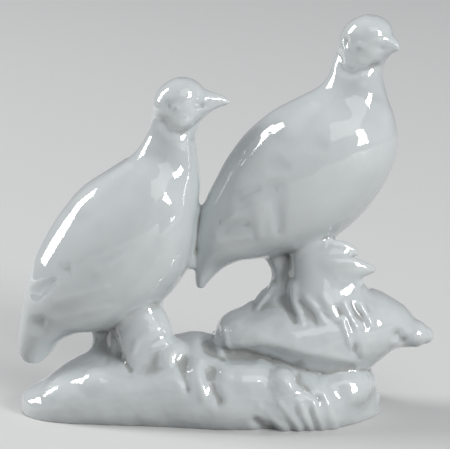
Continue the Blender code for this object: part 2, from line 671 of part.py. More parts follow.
def foot_recess(collection):
    """Cutter for the shallow hollow inside the foot rim, which follows the base's outline."""
    bm = bmesh.new()
    first, last = BASE_RIBS[0][0] + FOOT_RIM_WIDTH, BASE_RIBS[-1][0] - FOOT_RIM_WIDTH
    rings = []
    for x, front, back, top, squareness in smooth_rows(BASE_RIBS, 1):
        drop = (top + BASE_FLOOR) / (top - BASE_FLOOR)
        at_floor = (1.0 - abs(drop) ** squareness) ** (1 / squareness)
        half = (back - front) / 2 * at_floor - FOOT_RIM_WIDTH
        if first < x < last and half > FOOT_RIM_WIDTH:
            centre = Vector((x, (front + back) / 2, 0.0))
            up = Vector((0.0, 0.0, FOOT_RECESS_DEPTH))
            rings.append(ring(bm, matrix_from(centre, Vector((0.0, half, 0.0)), up), 5.0))
    skin_rings(bm, rings)
    return new_object("foot_recess_cutter", bm, collection)


def vent_hole(collection):
    """Cutter for the vent that lets a closed casting breathe in the kiln."""
    bm = bmesh.new()
    top = FOOT_RECESS_DEPTH + VENT_DEPTH
    place = Matrix.Translation((VENT_PLACE[0], VENT_PLACE[1], top / 2 - 1.0))
    bmesh.ops.create_cone(
        bm, cap_ends=True, segments=20, radius1=VENT_RADIUS, radius2=VENT_RADIUS,
        depth=top + 2.0, matrix=place,
    )
    return new_object("vent_cutter", bm, collection)


def stand_over_origin(thing, cutters):
    """Shift the figure and its cutters so that the middle of the figure's box is over the origin."""
    places = np.array([vert.co for vert in thing.data.vertices])
    middle = (places.min(axis=0) + places.max(axis=0)) / 2
    shift = Matrix.Translation((-middle[0], -middle[1], 0.0))
    for item in (thing, *cutters):
        item.data.transform(shift)


def cut(thing, cutter):
    """Boolean difference with a hidden cutter."""
    cutter.hide_render = True
    cutter.display_type = "WIRE"
    difference = thing.modifiers.new(cutter.name, "BOOLEAN")
    difference.operation = "DIFFERENCE"
    difference.solver = "EXACT"
    difference.object = cutter


def porcelain():
    """White glazed porcelain with a slight cool cast."""
    material = bpy.data.materials.new("glazed_porcelain")
    material.use_nodes = True
    shader = material.node_tree.nodes["Principled BSDF"]
    shader.inputs["Base Color"].default_value = (0.78, 0.80, 0.79, 1.0)
    shader.inputs["Roughness"].default_value = 0.08
    shader.inputs["Metallic"].default_value = 0.0
    return material


def main():
    clear_scene()
    parts = new_collection("partridge_pair_figurine")
    cutters = new_collection("cutters")
    left_head = head_frame(
        LEFT_HEAD_CENTRE, LEFT_BIRD_Y, LEFT_HEAD_SCALE, LEFT_HEAD_TURN, LEFT_HEAD_NOD
    )
    right_head = head_frame(
        RIGHT_HEAD_CENTRE, RIGHT_BIRD_Y, RIGHT_HEAD_SCALE, RIGHT_HEAD_TURN, RIGHT_HEAD_NOD
    )
    bm = bmesh.new()
    bird(
        bm, LEFT_RIBS, LEFT_BIRD_Y, LEFT_HEAD_CENTRE, LEFT_HEAD_SCALE, left_head,
        LEFT_BEAK_LENGTH, LEFT_EYE_FORWARD,
    )
    bird(
        bm, RIGHT_RIBS, RIGHT_BIRD_Y, RIGHT_HEAD_CENTRE, RIGHT_HEAD_SCALE, right_head,
        RIGHT_BEAK_LENGTH, RIGHT_EYE_FORWARD,
    )
    legs(bm)
    lower_base(bm)
    upper_rock(bm)
    ground_detail(bm)
    figure = new_object("partridge_pair", bm, parts)
    run_together(figure)
    fill_creases(figure, SKIN_VOXEL, GLAZE_FILLET)
    model_relief(figure, (left_head, right_head), SKIN_VOXEL)
    thin_facets(figure)
    grind_foot(figure)
    foot_cutters = (foot_recess(cutters), vent_hole(cutters))
    stand_over_origin(figure, foot_cutters)
    for cutter in foot_cutters:
        cut(figure, cutter)
    figure.data.materials.clear()
    figure.data.materials.append(porcelain())
    figure.data.shade_smooth()


main()
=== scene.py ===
"""The looks of a pair of partridges cast in one piece of glazed porcelain.

The figure is modelled again from the forms of its casting, on a finer skin that also takes the
marks of the modelling tool, and gets its glaze. Sizes are in millimetres until a form is finished.
"""

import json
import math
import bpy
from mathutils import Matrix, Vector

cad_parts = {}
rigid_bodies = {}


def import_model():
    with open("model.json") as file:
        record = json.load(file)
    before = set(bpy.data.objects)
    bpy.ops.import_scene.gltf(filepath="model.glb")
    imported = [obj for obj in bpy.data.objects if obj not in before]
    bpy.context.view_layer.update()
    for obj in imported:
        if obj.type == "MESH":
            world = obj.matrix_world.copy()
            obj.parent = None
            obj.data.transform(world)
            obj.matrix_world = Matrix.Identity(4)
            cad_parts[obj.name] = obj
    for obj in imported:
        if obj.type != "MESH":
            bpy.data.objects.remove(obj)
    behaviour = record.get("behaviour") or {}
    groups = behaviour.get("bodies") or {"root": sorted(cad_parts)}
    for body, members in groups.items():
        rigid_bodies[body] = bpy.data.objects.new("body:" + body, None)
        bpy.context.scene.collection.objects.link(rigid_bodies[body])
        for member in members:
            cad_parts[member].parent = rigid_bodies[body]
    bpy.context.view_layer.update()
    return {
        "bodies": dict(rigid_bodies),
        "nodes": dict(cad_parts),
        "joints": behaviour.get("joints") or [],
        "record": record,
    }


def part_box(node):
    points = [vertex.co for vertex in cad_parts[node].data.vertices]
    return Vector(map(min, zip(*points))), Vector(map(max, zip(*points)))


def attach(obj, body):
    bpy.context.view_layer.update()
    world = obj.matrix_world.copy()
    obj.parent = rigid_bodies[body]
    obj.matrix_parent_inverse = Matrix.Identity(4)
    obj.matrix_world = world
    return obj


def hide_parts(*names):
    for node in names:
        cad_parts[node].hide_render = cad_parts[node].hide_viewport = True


bl_info = {
    "name": "Partridge Pair Figurine",
    "version": (1, 0, 0),
    "blender": (4, 5, 0),
    "location": "3D View > Sidebar > Figurine",
    "description": "Models and glazes a porcelain pair of partridges in its measured frame",
    "category": "Object",
}

import bmesh
import bpy
import numpy as np
from mathutils import Matrix, Vector, noise

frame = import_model()

MM = 0.001
NODE = "partridge_pair"

LOFT_SIDES = 56
LOFT_STEPS = 6  # rings of a loft from one given rib to the next

# The uneven skin that hand modelling leaves
RIPPLE_LENGTH = 7.0  # on the ground
RIPPLE_HEIGHT = 0.36
RIPPLE_DETAIL = 2.4  # how much finer the second set of ripples is
RIPPLE_DETAIL_SHARE = 0.3
RIPPLE_FADE = 3.0  # how far above and below the ground's top the ripples fade
FEATHER_LENGTH = 9.0  # on the birds
FEATHER_HEIGHT = 0.09
FEATHER_LIE = (0.8, 1.3)  # how fine the waves are along and across the feathers

# How the hollows are found, which steer the pooled-glaze tint and the painted shade in the creases
# and the painted shade in wide recesses: passes over which the skin is averaged round a point
HOLLOW_PASSES = 50
# The wide reading steers only painted shade, under the rock's lip and behind the legs
PAINTED_SHADE_PASSES = 400

# How fine the textures of the glaze and the floor are
CLOUD_SCALE = 60.0
GRAIN_SCALE = 700.0
SPECK_SCALE = 160.0
FLOOR_GRAIN_SCALE = 260.0
GLAZE_EDGE = 0.0002  # height in metres over which the glaze starts above the bare rim

# Foot, and the glaze that fills the creases
FOOT_RIM_WIDTH = 5.0
FOOT_RECESS_DEPTH = 1.8
RIM_MERGE = 0.08
VENT_RADIUS = 2.6
VENT_DEPTH = 9.0
VENT_PLACE = (-14.0, 0.0)
CUTTER_OVERLAP = 1.0
RECESS_SQUARENESS = 5.0
RECESS_STEPS = 2
GLAZE_FILLET = 3.3  # reach of the glaze
FILL_PASSES = 8  # passes between two readings of the skin's normals

# Heads, in a frame that looks along +X with its origin between the eyes
HEAD_RIBS = [
    # back x, back z, front x, front z, half width
    (-9.6, -9.5, 6.6, -11.0, 7.6),
    (-9.7, -5.5, 8.0, -7.6, 8.1),
    (-9.4, -1.5, 9.6, -3.6, 8.4),
    (-8.3, 2.4, 10.0, 1.6, 8.3),
    (-6.2, 5.7, 9.2, 5.6, 7.3),
    (-3.0, 8.1, 6.6, 8.0, 5.2),
    (-0.4, 9.3, 4.0, 9.1, 2.2),
]
CHEEK_CENTRE = (0.8, -5.0)
CHEEK_RADII = (7.2, 8.8, 8.2)
EYE_RADIUS = 2.2
EYE_PROUD = 0.55
NECK_RIB = (-9.4, -2.6, 6.1, -6.2, 7.9)  # the neck's last rib, from the head's centre
BEAK_ROOT = 7.6
BEAK_RIBS = [
    # share of the beak's length from its root, top z, bottom z, half width
    (-0.25, 7.0, -9.2, 5.6),
    (0.0, 6.6, -7.8, 5.0),
    (0.22, 4.7, -5.4, 3.9),
    (0.44, 3.5, -3.5, 3.1),
    (0.68, 2.5, -2.1, 2.1),
    (0.87, 1.4, -1.5, 1.4),
    (1.0, 0.1, -1.1, 0.7),
]

BODY_EGG = 0.06  # how much fuller a body's section is at the breast than at the back

# Left bird
LEFT_HEAD_CENTRE = (-17.3, 117.4)
LEFT_HEAD_SCALE = 1.0
LEFT_HEAD_TURN = 0.0
LEFT_HEAD_NOD = -2.0
LEFT_BEAK_LENGTH = 11.6
LEFT_EYE_FORWARD = -0.2
LEFT_BIRD_Y = 0.0
LEFT_RIBS = [
    # back x, back z, breast x, breast z, half width
    (-75.6, 19.2, -69.2, 18.4, 3.4),
    (-77.4, 23.0, -64.8, 22.6, 5.6),
    (-77.2, 29.6, -61.0, 27.4, 8.4),
    (-75.9, 39.4, -54.0, 30.6, 11.6),
    (-74.2, 48.4, -46.0, 31.4, 14.6),
    (-71.0, 58.4, -37.4, 34.0, 17.6),
    (-66.0, 68.2, -28.4, 39.0, 19.6),
    (-60.0, 77.4, -20.2, 45.6, 20.6),
    (-52.4, 85.4, -14.2, 54.0, 20.2),
    (-43.0, 91.6, -11.4, 64.6, 18.6),
    (-35.4, 96.8, -10.0, 77.0, 15.2),
    (-31.2, 101.2, -9.0, 88.0, 10.2),
    (-28.6, 106.0, -9.9, 97.0, 8.5),
    (-27.4, 110.8, -10.9, 104.6, 8.2),
]

# Right bird
RIGHT_HEAD_CENTRE = (50.8, 140.0)
RIGHT_HEAD_SCALE = 1.05
RIGHT_HEAD_TURN = 32.0
RIGHT_HEAD_NOD = 5.0
RIGHT_BEAK_LENGTH = 6.4
RIGHT_EYE_FORWARD = 2.4
RIGHT_BIRD_Y = 2.0
RIGHT_RIBS = [
    (-10.6, 47.0, -7.8, 46.8, 2.2),
    (-11.2, 51.2, -4.6, 50.8, 4.0),
    (-11.0, 56.4, 0.4, 55.2, 6.4),
    (-10.8, 62.0, 7.2, 58.2, 9.6),
    (-10.4, 68.6, 15.0, 59.2, 12.6),
    (-9.0, 75.6, 23.4, 61.4, 15.4),
    (-6.6, 82.2, 32.4, 63.4, 17.8),
    (-3.2, 88.8, 40.4, 66.8, 19.6),
    (0.6, 96.0, 47.8, 72.4, 20.8),
    (7.0, 104.8, 55.2, 81.0, 21.0),
    (16.2, 112.9, 60.8, 90.8, 19.8),
    (26.0, 118.4, 63.6, 101.0, 16.8),
    (33.0, 122.0, 62.8, 109.8, 12.4),
    (36.7, 125.6, 59.8, 118.4, 9.5),
    (38.9, 130.4, 57.8, 126.4, 8.9),
]

# Legs and the tufts they stand in: x, y, z, half size along X, half size along Y
LEFT_FAR_LEG = [
    (-45.2, 4.0, 38.0, 7.2, 6.5),
    (-44.4, 4.0, 30.0, 5.8, 5.4),
    (-44.2, 3.0, 24.0, 5.8, 6.2),
    (-45.0, 1.0, 17.0, 8.4, 9.0),
]
LEFT_NEAR_TUFT = [
    (-34.0, -4.0, 46.0, 8.4, 8.0),
    (-31.4, -6.8, 38.5, 9.0, 8.0),
    (-29.7, -9.4, 33.0, 10.3, 7.4),
    (-29.4, -11.4, 28.6, 9.8, 6.6),
    (-29.8, -13.2, 24.4, 8.4, 5.8),
    (-30.2, -14.8, 20.4, 6.6, 5.0),
    (-30.4, -16.2, 16.4, 4.6, 4.2),
]
RIGHT_FAR_LEG = [
    (18.0, 4.0, 66.0, 8.5, 8.0),
    (20.2, 3.0, 60.0, 5.8, 7.0),
    (22.6, 2.0, 53.0, 5.2, 7.0),
    (22.6, 1.0, 46.0, 7.0, 9.6),
    (21.0, 0.0, 38.0, 11.0, 13.0),
]
RIGHT_NEAR_TUFT = [
    (31.6, -2.0, 70.0, 7.0, 8.6),
    (33.0, -4.4, 61.0, 9.0, 8.2),
    (35.0, -6.8, 54.0, 11.2, 8.6),
    (36.4, -9.0, 46.0, 14.0, 9.6),
    (38.0, -10.6, 38.0, 17.4, 10.2),
    (38.6, -11.6, 31.0, 19.4, 9.8),
]

# Where the right bird's tail is luted to the left bird's back
TAIL_SEAM = [
    (-10.4, 1.0, 78.0, 1.4, 2.4),
    (-11.0, 1.0, 70.0, 1.7, 3.0),
    (-11.6, 1.0, 62.0, 1.9, 3.0),
    (-12.2, 0.6, 56.0, 1.9, 2.4),
]

# Lower base, as ribs along X: x, front y, back y, top z, squareness
BASE_FLOOR = -6.0
BASE_RIBS = [
    (-76.4, -3.6, 3.0, 5.6, 2.0),
    (-74.4, -8.6, 7.0, 7.6, 2.2),
    (-68.0, -14.8, 12.0, 11.6, 2.3),
    (-58.0, -19.2, 16.5, 18.4, 2.3),
    (-48.0, -21.6, 19.5, 22.8, 2.3),
    (-36.0, -23.6, 21.0, 24.8, 2.3),
    (-24.0, -25.2, 22.0, 27.4, 2.3),
    (-12.0, -28.0, 22.5, 28.6, 2.3),
    (0.0, -29.4, 23.0, 28.0, 2.4),
    (14.0, -29.0, 23.5, 26.4, 2.4),
    (28.0, -29.4, 23.5, 22.6, 2.4),
    (40.0, -26.0, 22.0, 20.8, 2.4),
    (50.0, -17.4, 16.5, 18.6, 2.3),
    (55.2, -10.4, 10.0, 12.4, 2.1),
    (58.2, -4.0, 4.0, 6.6, 2.0),
]

# Upper rock, as ribs along X: x, middle y, bottom z, top z, half depth
ROCK_RIBS = [
    (-3.4, -5.0, 28.0, 33.4, 6.0),
    (-1.0, -5.0, 26.4, 37.0, 11.0),
    (4.0, -4.8, 25.6, 39.6, 14.8),
    (12.0, -4.6, 25.0, 41.4, 17.6),
    (22.0, -4.4, 21.4, 43.4, 19.6),
    (34.0, -4.0, 16.4, 46.0, 20.4),
    (46.0, -3.0, 15.0, 48.0, 19.0),
    (55.0, -2.0, 18.6, 47.0, 16.2),
    (62.0, -1.5, 24.0, 43.6, 13.0),
    (67.0, -1.0, 26.0, 40.4, 9.6),
    (70.8, -1.0, 28.0, 36.0, 5.4),
]
ROCK_SQUARENESS = 2.1
ROCK_STUB = [
    (62.0, -1.0, 31.0, 7.0, 7.0),
    (68.0, -1.5, 30.4, 5.6, 6.0),
    (72.4, -1.5, 29.8, 4.9, 5.6),
    (74.6, -1.5, 29.4, 3.4, 4.0),
]

# Lumps in the rock and base: x, y, z, radius along X, along Y, along Z, turn about Y in degrees
LUMPS = [
    (-60.0, -8.0, 9.6, 11.0, 9.0, 6.0, -28.0),
    (-47.0, -13.0, 14.0, 9.0, 8.0, 7.0, -20.0),
    (-37.0, -12.0, 15.0, 7.0, 9.0, 8.0, 0.0),
    (-20.0, -11.4, 22.0, 9.0, 9.6, 9.2, 0.0),
    (-9.6, -16.6, 15.6, 6.0, 9.0, 11.0, 8.0),
    (-10.0, -2.0, 23.0, 9.0, 12.0, 7.4, 0.0),
    (6.0, -17.4, 17.6, 18.0, 11.0, 8.0, 3.0),
    (21.6, -20.4, 15.6, 9.0, 8.6, 7.0, 30.0),
    (42.0, -13.0, 12.0, 13.0, 10.6, 9.6, -10.0),
    (50.6, -6.0, 12.0, 6.0, 9.0, 6.6, 20.0),
    (44.0, -6.0, 45.0, 11.0, 10.0, 9.0, 34.0),
    (56.0, -5.0, 37.4, 12.0, 9.6, 7.4, 36.0),
    (44.0, -11.0, 35.0, 13.0, 9.0, 9.6, 24.0),
    (62.0, -4.0, 32.4, 8.0, 8.0, 6.6, 20.0),
    (51.0, -12.0, 37.0, 7.6, 6.4, 5.6, 40.0),
    (58.6, -9.4, 31.4, 7.6, 6.0, 5.2, -14.0),
    (20.0, -12.6, 33.0, 13.0, 10.4, 6.6, 8.0),
    (33.0, -14.4, 30.4, 12.0, 9.0, 6.4, 14.0),
    (8.0, -10.0, 34.4, 10.0, 9.0, 5.6, -8.0),
    (36.0, 10.0, 38.0, 15.0, 8.0, 10.0, 20.0),
    (12.0, 12.0, 26.0, 16.0, 9.0, 8.0, 0.0),
    (-38.6, -2.0, 27.0, 5.0, 8.0, 9.0, 0.0),
    (-34.0, 10.0, 20.0, 12.0, 9.0, 5.6, 0.0),
]

# Leaves of the twig, each a flattened loft: x, y, z, half height, half thickness
LEAVES = [
    [
        (28.0, -5.0, 61.6, 4.8, 3.4),
        (35.0, -8.6, 63.8, 4.8, 2.6),
        (42.0, -9.8, 64.6, 3.6, 2.0),
        (47.8, -9.0, 63.2, 2.0, 1.4),
    ],
    [
        (31.0, -8.6, 55.0, 6.8, 3.8),
        (38.0, -12.0, 56.6, 6.6, 3.0),
        (46.0, -12.6, 57.8, 4.8, 2.3),
        (54.2, -10.8, 57.2, 1.6, 1.4),
    ],
    [
        (32.0, -10.0, 48.0, 4.8, 4.0),
        (38.0, -13.4, 48.0, 4.4, 3.0),
        (44.0, -13.6, 49.6, 3.4, 2.4),
        (49.6, -11.6, 52.6, 1.8, 1.4),
    ],
]

# Marks of the modelling tool, raised (+) or pressed in (-): radius, height, points of the stroke.
# All but the heads' are laid out as the front, or the back seen through it, looks from
# VIEW_TILT degrees above.
VIEW_TILT = 14.0
GROUND_STROKES = [
    # ridges and creases of the tuft under the left bird
    (2.6, 0.65, [(-24.0, 31.3), (-32.2, 26.5), (-33.7, 22.1)]),
    (2.2, 0.58, [(-21.0, 26.5), (-27.0, 23.6)]),
    (3.4, -0.69, [(-40.4, 27.0), (-38.0, 21.0), (-35.0, 16.0)]),
    # folds down the front of the base
    (4.2, -1.0, [(-15.9, 19.6), (-14.8, 13.6), (-13.7, 8.8)]),
    (4.0, 0.8, [(-10.7, 24.7), (-9.6, 14.7), (-8.1, 6.2)]),
    (5.4, -1.3, [(-5.0, 15.4), (-3.8, 8.8), (-2.0, 5.0)]),
    (3.8, -0.92, [(-7.4, 24.7), (-1.1, 20.6)]),
    # the leaf-like bump, and the grass at the foot
    (4.6, 0.8, [(21.0, 14.4), (22.4, 12.2), (24.0, 10.0)]),
    (3.0, -0.8, [(27.0, 13.0), (31.0, 9.0), (34.6, 5.4)]),
    (4.8, -1.5, [(15.4, -6.6), (11.4, -2.4)]),
    (2.8, 0.55, [(22.0, -6.0), (17.0, -2.0), (12.4, 3.4)]),
    (2.8, 0.6, [(27.0, -6.0), (22.6, -1.0), (19.6, 5.4)]),
    (2.4, 0.55, [(31.0, -5.7), (28.4, -0.6), (27.0, 5.4)]),
    (2.4, 0.55, [(35.6, -5.7), (33.4, -0.4), (32.0, 5.4)]),
    (2.6, 0.5, [(40.0, -5.7), (38.4, 2.0), (36.0, 8.0)]),
    (2.2, -0.6, [(18.6, -5.7), (14.0, 1.4)]),
    (2.2, -0.7, [(24.8, -5.7), (20.4, 2.4)]),
    (2.2, -0.7, [(29.4, -5.7), (25.6, 3.0)]),
    (2.0, -0.6, [(33.4, -5.7), (30.6, 3.0)]),
    # toes of the right bird's near leg
    (2.4, 0.91, [(25.0, 47.0), (25.0, 41.3), (28.4, 33.5)]),
    (2.2, 0.8, [(29.6, 42.4), (33.0, 39.0), (36.4, 33.6)]),
    (2.2, 0.65, [(36.0, 43.0), (38.6, 38.6), (41.4, 34.6)]),
    (3.2, -0.8, [(22.0, 41.6), (24.0, 37.0), (25.4, 34.0)]),
    (2.6, -0.5, [(28.2, 41.0), (31.4, 36.6), (33.4, 33.0)]),
    # blades down the face of the rock
    (1.8, 1.01, [(43.4, 41.0), (45.6, 36.6), (48.0, 31.6)]),
    (1.8, 0.87, [(49.6, 40.4), (51.4, 37.0), (53.6, 33.0)]),
    (2.0, 1.16, [(42.9, 34.4), (44.4, 29.5), (46.0, 24.6)]),
    (2.1, -0.5, [(46.6, 40.0), (49.6, 36.0), (51.4, 31.6)]),
    (2.2, -0.5, [(40.6, 38.0), (42.4, 33.4)]),
    (3.0, -0.8, [(47.6, 24.4), (49.4, 20.0)]),
    # the rock's lower lip, and the shade between the rock and its stub
    (3.6, 0.46, [(2.6, 25.4), (12.0, 27.4), (21.5, 25.6), (33.0, 22.8), (46.0, 19.6)]),
    (5.2, -0.85, [(2.6, 21.6), (15.5, 21.8), (25.2, 19.8), (38.9, 16.6), (47.0, 16.6)]),
    (3.8, -1.03, [(64.0, 29.0), (66.4, 26.4)]),
    # bark at the rock's left end, and the rib beside the gap between the birds
    (1.8, 0.7, [(-4.1, 30.2), (-3.0, 24.7), (-1.1, 22.1)]),
    (1.8, 0.7, [(-0.6, 31.0), (0.6, 27.3), (2.0, 23.6)]),
    (1.8, -0.7, [(-2.4, 30.6), (-1.2, 26.0), (0.6, 22.8)]),
    (1.8, 0.93, [(17.6, 46.1), (14.8, 42.0), (11.8, 38.0)]),
]
BACK_STROKES = [
    # plain folds on the back of the base and of the rock
    (4.4, -1.0, [(-52.0, 15.0), (-47.0, 8.0)]),
    (5.0, 0.7, [(-41.0, 20.0), (-36.0, 6.0)]),
    (4.6, -1.1, [(-29.0, 23.0), (-22.0, 7.0)]),
    (5.4, 0.8, [(-14.0, 25.0), (-8.0, 9.0)]),
    (5.2, -1.2, [(1.0, 22.0), (7.0, 8.0)]),
    (5.0, 0.7, [(19.0, 17.0), (24.0, 3.0)]),
    (4.4, -1.0, [(33.0, 15.0), (37.0, 2.0)]),
    (3.6, 0.92, [(9.0, 39.0), (13.0, 29.0)]),
    (3.8, -1.03, [(23.0, 43.0), (21.0, 29.0)]),
    (4.2, 0.8, [(36.0, 44.0), (33.0, 28.0)]),
    (3.8, -1.15, [(48.0, 44.0), (45.0, 28.0)]),
    (4.0, 0.8, [(58.0, 40.0), (54.0, 28.0)]),
]
FLANK_STROKES = [
    # left bird: folded wing, crease under it, dimples between its feathers, long feathers
    (16.2, 0.36, [(-27.8, 82.0), (-42.6, 69.1), (-55.5, 54.3), (-65.5, 39.5)]),
    (5.5, -0.24, [(-22.2, 72.8), (-25.0, 61.7), (-33.3, 50.6), (-39.2, 42.0), (-51.8, 36.0)]),
    (4.4, -0.56, [(-57.4, 53.0), (-56.6, 54.0)]),
    (4.2, -0.56, [(-69.2, 44.3), (-62.5, 48.7)]),
    (5.6, -0.8, [(-68.6, 32.6), (-67.4, 33.8)]),
    (2.8, 0.31, [(-46.0, 52.4), (-37.0, 58.4)]),
    (2.8, 0.31, [(-61.0, 41.3), (-42.6, 46.9)]),
    (2.8, 0.31, [(-63.0, 34.6), (-42.6, 39.2)]),
    # right bird: the same, and the fold behind its breast
    (17.5, 0.36, [(38.9, 104.2), (24.1, 91.3), (9.3, 76.5), (-1.1, 61.7)]),
    (4.2, 0.42, [(12.2, 76.5), (12.6, 65.4)]),
    (5.2, -0.62, [(18.5, 82.0), (19.6, 67.2)]),
    (5.5, -0.3, [(33.0, 98.6), (35.0, 97.4)]),
    (5.2, -0.36, [(19.0, 90.6), (22.0, 89.6)]),
    (4.0, -0.41, [(6.3, 78.4), (12.0, 82.0)]),
    (5.8, -0.6, [(1.5, 67.0), (7.4, 69.0)]),
    (2.8, 0.31, [(-3.0, 66.0), (4.0, 73.6)]),
    (2.5, 0.31, [(-4.8, 62.4), (9.2, 65.0)]),
    (3.8, -0.28, [(27.8, 63.5), (38.9, 66.5), (44.4, 70.2)]),
    # the near edges of the backs, and the folds of the left bird's breast
    (7.5, 0.8, [(-52.0, 78.0), (-44.0, 85.0), (-36.0, 90.0)]),
    (7.5, 0.8, [(24.0, 105.0), (32.0, 112.0)]),
    (2.6, 0.3, [(-22.2, 80.5), (-27.4, 73.9)]),
    (2.6, 0.3, [(-17.0, 71.7), (-23.7, 65.0)]),
]

# Head strokes lie in the head's own frame, on each cheek
HEAD_STROKES = [
    (3.2, -0.8, [(-5.2, -5.5), (-3.1, -9.1), (1.3, -9.9), (5.7, -7.9), (7.6, -6.5)]),
    (2.0, -0.75, [(-3.2, 0.8), (-2.8, -0.8)]),
    (1.8, 0.2, [(-2.6, 3.2), (0.6, 3.8), (3.6, 3.0)]),
    (2.6, -0.4, [(7.0, 0.2), (9.2, -0.4)]),
    (1.5, -0.4, [(10.0, -0.5), (13.6, -0.3), (16.4, -0.1)]),
]
HEAD_STROKE_REACH = 2.4  # how far a head's strokes reach, in half widths of the head
STROKE_TURN_IN = 0.5  # a stroke fades where the skin faces its side by less than this
STROKE_SOFTNESS = 1.5  # how far the edges of a stroke are softened
STROKE_TAPER = 0.5  # how much narrower a stroke is at its end than at its start


def smooth_rows(rows, steps):
    """Rows read from a smooth curve through the given rows, with steps between each pair."""
    result = []
    last = len(rows) - 1
    for i in range(last):
        p0 = rows[max(i - 1, 0)]
        p1 = rows[i]
        p2 = rows[i + 1]
        p3 = rows[min(i + 2, last)]
        for step in range(steps):
            t = step / steps
            row = []
            for a, b, c, d in zip(p0, p1, p2, p3):
                bend = (2 * a - 5 * b + 4 * c - d) * t * t + (3 * b - a - 3 * c + d) * t ** 3
                row.append(0.5 * (2 * b + (c - a) * t + bend))
            result.append(tuple(row))
    result.append(tuple(rows[-1]))
    return result


def ring(form, place, squareness=2.0, egg=0.0):
    """One closed ring of edges: a unit circle, squared or egg shaped, put in place by a matrix."""
    verts = bmesh.ops.create_circle(form, segments=LOFT_SIDES, radius=1.0)["verts"]
    for vert in verts:
        angle = math.atan2(vert.co.y, vert.co.x)
        x = math.copysign(abs(math.cos(angle)) ** (2 / squareness), math.cos(angle))
        y = math.copysign(abs(math.sin(angle)) ** (2 / squareness), math.sin(angle))
        vert.co = place @ Vector((x, y * (1 + egg * x), 0.0))
    return list({edge for vert in verts for edge in vert.link_edges})


def skin_rings(form, rings):
    """Bridge each ring to the next and close the two ends."""
    for lower, upper in zip(rings, rings[1:]):
        bmesh.ops.bridge_loops(form, edges=lower + upper)
    for end in (rings[0], rings[-1]):
        bmesh.ops.contextual_create(form, geom=end)
    bmesh.ops.recalc_face_normals(form, faces=form.faces[:])


def add_form(bm, form):
    """Add a finished form to the figure's mesh."""
    mesh = bpy.data.meshes.new("form")
    form.to_mesh(mesh)
    form.free()
    bm.from_mesh(mesh)
    bpy.data.meshes.remove(mesh)


def matrix_from(centre, first, second):
    """A matrix whose first two columns are the given half axes, at the given centre."""
    normal = first.cross(second).normalized()
    columns = Matrix((first, second, normal)).transposed().to_4x4()
    return Matrix.Translation(centre) @ columns


def rib_loft(bm, ribs, y, frame=Matrix(), squareness=2.0, egg=0.0):
    """A loft through ribs that each reach from one point to another in the profile plane."""
    form = bmesh.new()
    rings = []
    for back_x, back_z, front_x, front_z, half_width in smooth_rows(ribs, LOFT_STEPS):
        back = Vector((back_x, y, back_z))
        front = Vector((front_x, y, front_z))
        across = Vector((0.0, half_width, 0.0))
        place = frame @ matrix_from((back + front) / 2, (front - back) / 2, across)
        rings.append(ring(form, place, squareness, egg))
    skin_rings(form, rings)
    add_form(bm, form)


def path_loft(bm, stations):
    """A loft along a path: x, y, z, half size in the profile plane, half size along Y."""
    rows = smooth_rows([row if len(row) == 5 else (*row, row[3]) for row in stations], LOFT_STEPS)
    points = [Vector(row[:3]) for row in rows]
    form = bmesh.new()
    rings = []
    for i, (_, _, _, in_profile, along_y) in enumerate(rows):
        along = points[min(i + 1, len(points) - 1)] - points[max(i - 1, 0)]
        side = along.cross(Vector((0.0, 1.0, 0.0))).normalized()
        depth = side.cross(along).normalized()
        rings.append(ring(form, matrix_from(points[i], side * in_profile, depth * along_y)))
    skin_rings(form, rings)
    add_form(bm, form)
    for x, y, z, in_profile, along_y in (rows[0], rows[-1]):
        radius = min(in_profile, along_y)
        ball(bm, (x, y, z), (radius, radius, radius))


def ball(bm, centre, radii, turn=0.0, frame=Matrix()):
    """A ball with a radius along each axis, turned about Y."""
    stretch = Matrix.Diagonal((*radii, 1.0))
    place = Matrix.Translation(centre) @ Matrix.Rotation(math.radians(turn), 4, "Y") @ stretch
    form = bmesh.new()
    bmesh.ops.create_uvsphere(form, u_segments=20, v_segments=12, radius=1.0, matrix=frame @ place)
    add_form(bm, form)


def head_frame(centre, y, scale, turn, nod):
    """The frame of a head, turned about the upright through its centre and nodded forward."""
    frame = Matrix.Translation((centre[0], y, centre[1]))
    frame @= Matrix.Rotation(math.radians(-turn), 4, "Z")
    return frame @ Matrix.Rotation(math.radians(nod), 4, "Y") @ Matrix.Scale(scale, 4)


def head(bm, frame, beak_length, eye_forward):
    """Head, cheeks, eyes and beak."""
    rib_loft(bm, HEAD_RIBS, 0.0, frame)
    ball(bm, (CHEEK_CENTRE[0], 0.0, CHEEK_CENTRE[1]), CHEEK_RADII, frame=frame)
    beak = []
    for share, top, bottom, half_width in BEAK_RIBS:
        x = BEAK_ROOT + share * beak_length
        beak.append((x, top, x, bottom, half_width))
    rib_loft(bm, beak, 0.0, frame)
    for side in (-1.0, 1.0):
        eye_y = side * (HEAD_RIBS[2][4] + EYE_PROUD - EYE_RADIUS)
        ball(bm, (eye_forward, eye_y, 0.0), (EYE_RADIUS, EYE_RADIUS, EYE_RADIUS), frame=frame)


def bird(bm, ribs, y, centre, scale, frame, beak_length, eye_forward):
    """One partridge: body and neck, which runs up into the head, and the head."""
    back_x, back_z, front_x, front_z, half_width = [scale * size for size in NECK_RIB]
    x, z = centre
    neck = (x + back_x, z + back_z, x + front_x, z + front_z, half_width)
    rib_loft(bm, [*ribs, neck], y, egg=BODY_EGG)
    head(bm, frame, beak_length, eye_forward)


def lower_base(bm):
    """The low ground under both birds, a loft along X with squared sections."""
    form = bmesh.new()
    rings = []
    for x, front, back, top, squareness in smooth_rows(BASE_RIBS, LOFT_STEPS):
        centre = Vector((x, (front + back) / 2, (top + BASE_FLOOR) / 2))
        across = Vector((0.0, (back - front) / 2, 0.0))
        up = Vector((0.0, 0.0, (top - BASE_FLOOR) / 2))
        rings.append(ring(form, matrix_from(centre, across, up), squareness))
    skin_rings(form, rings)
    add_form(bm, form)


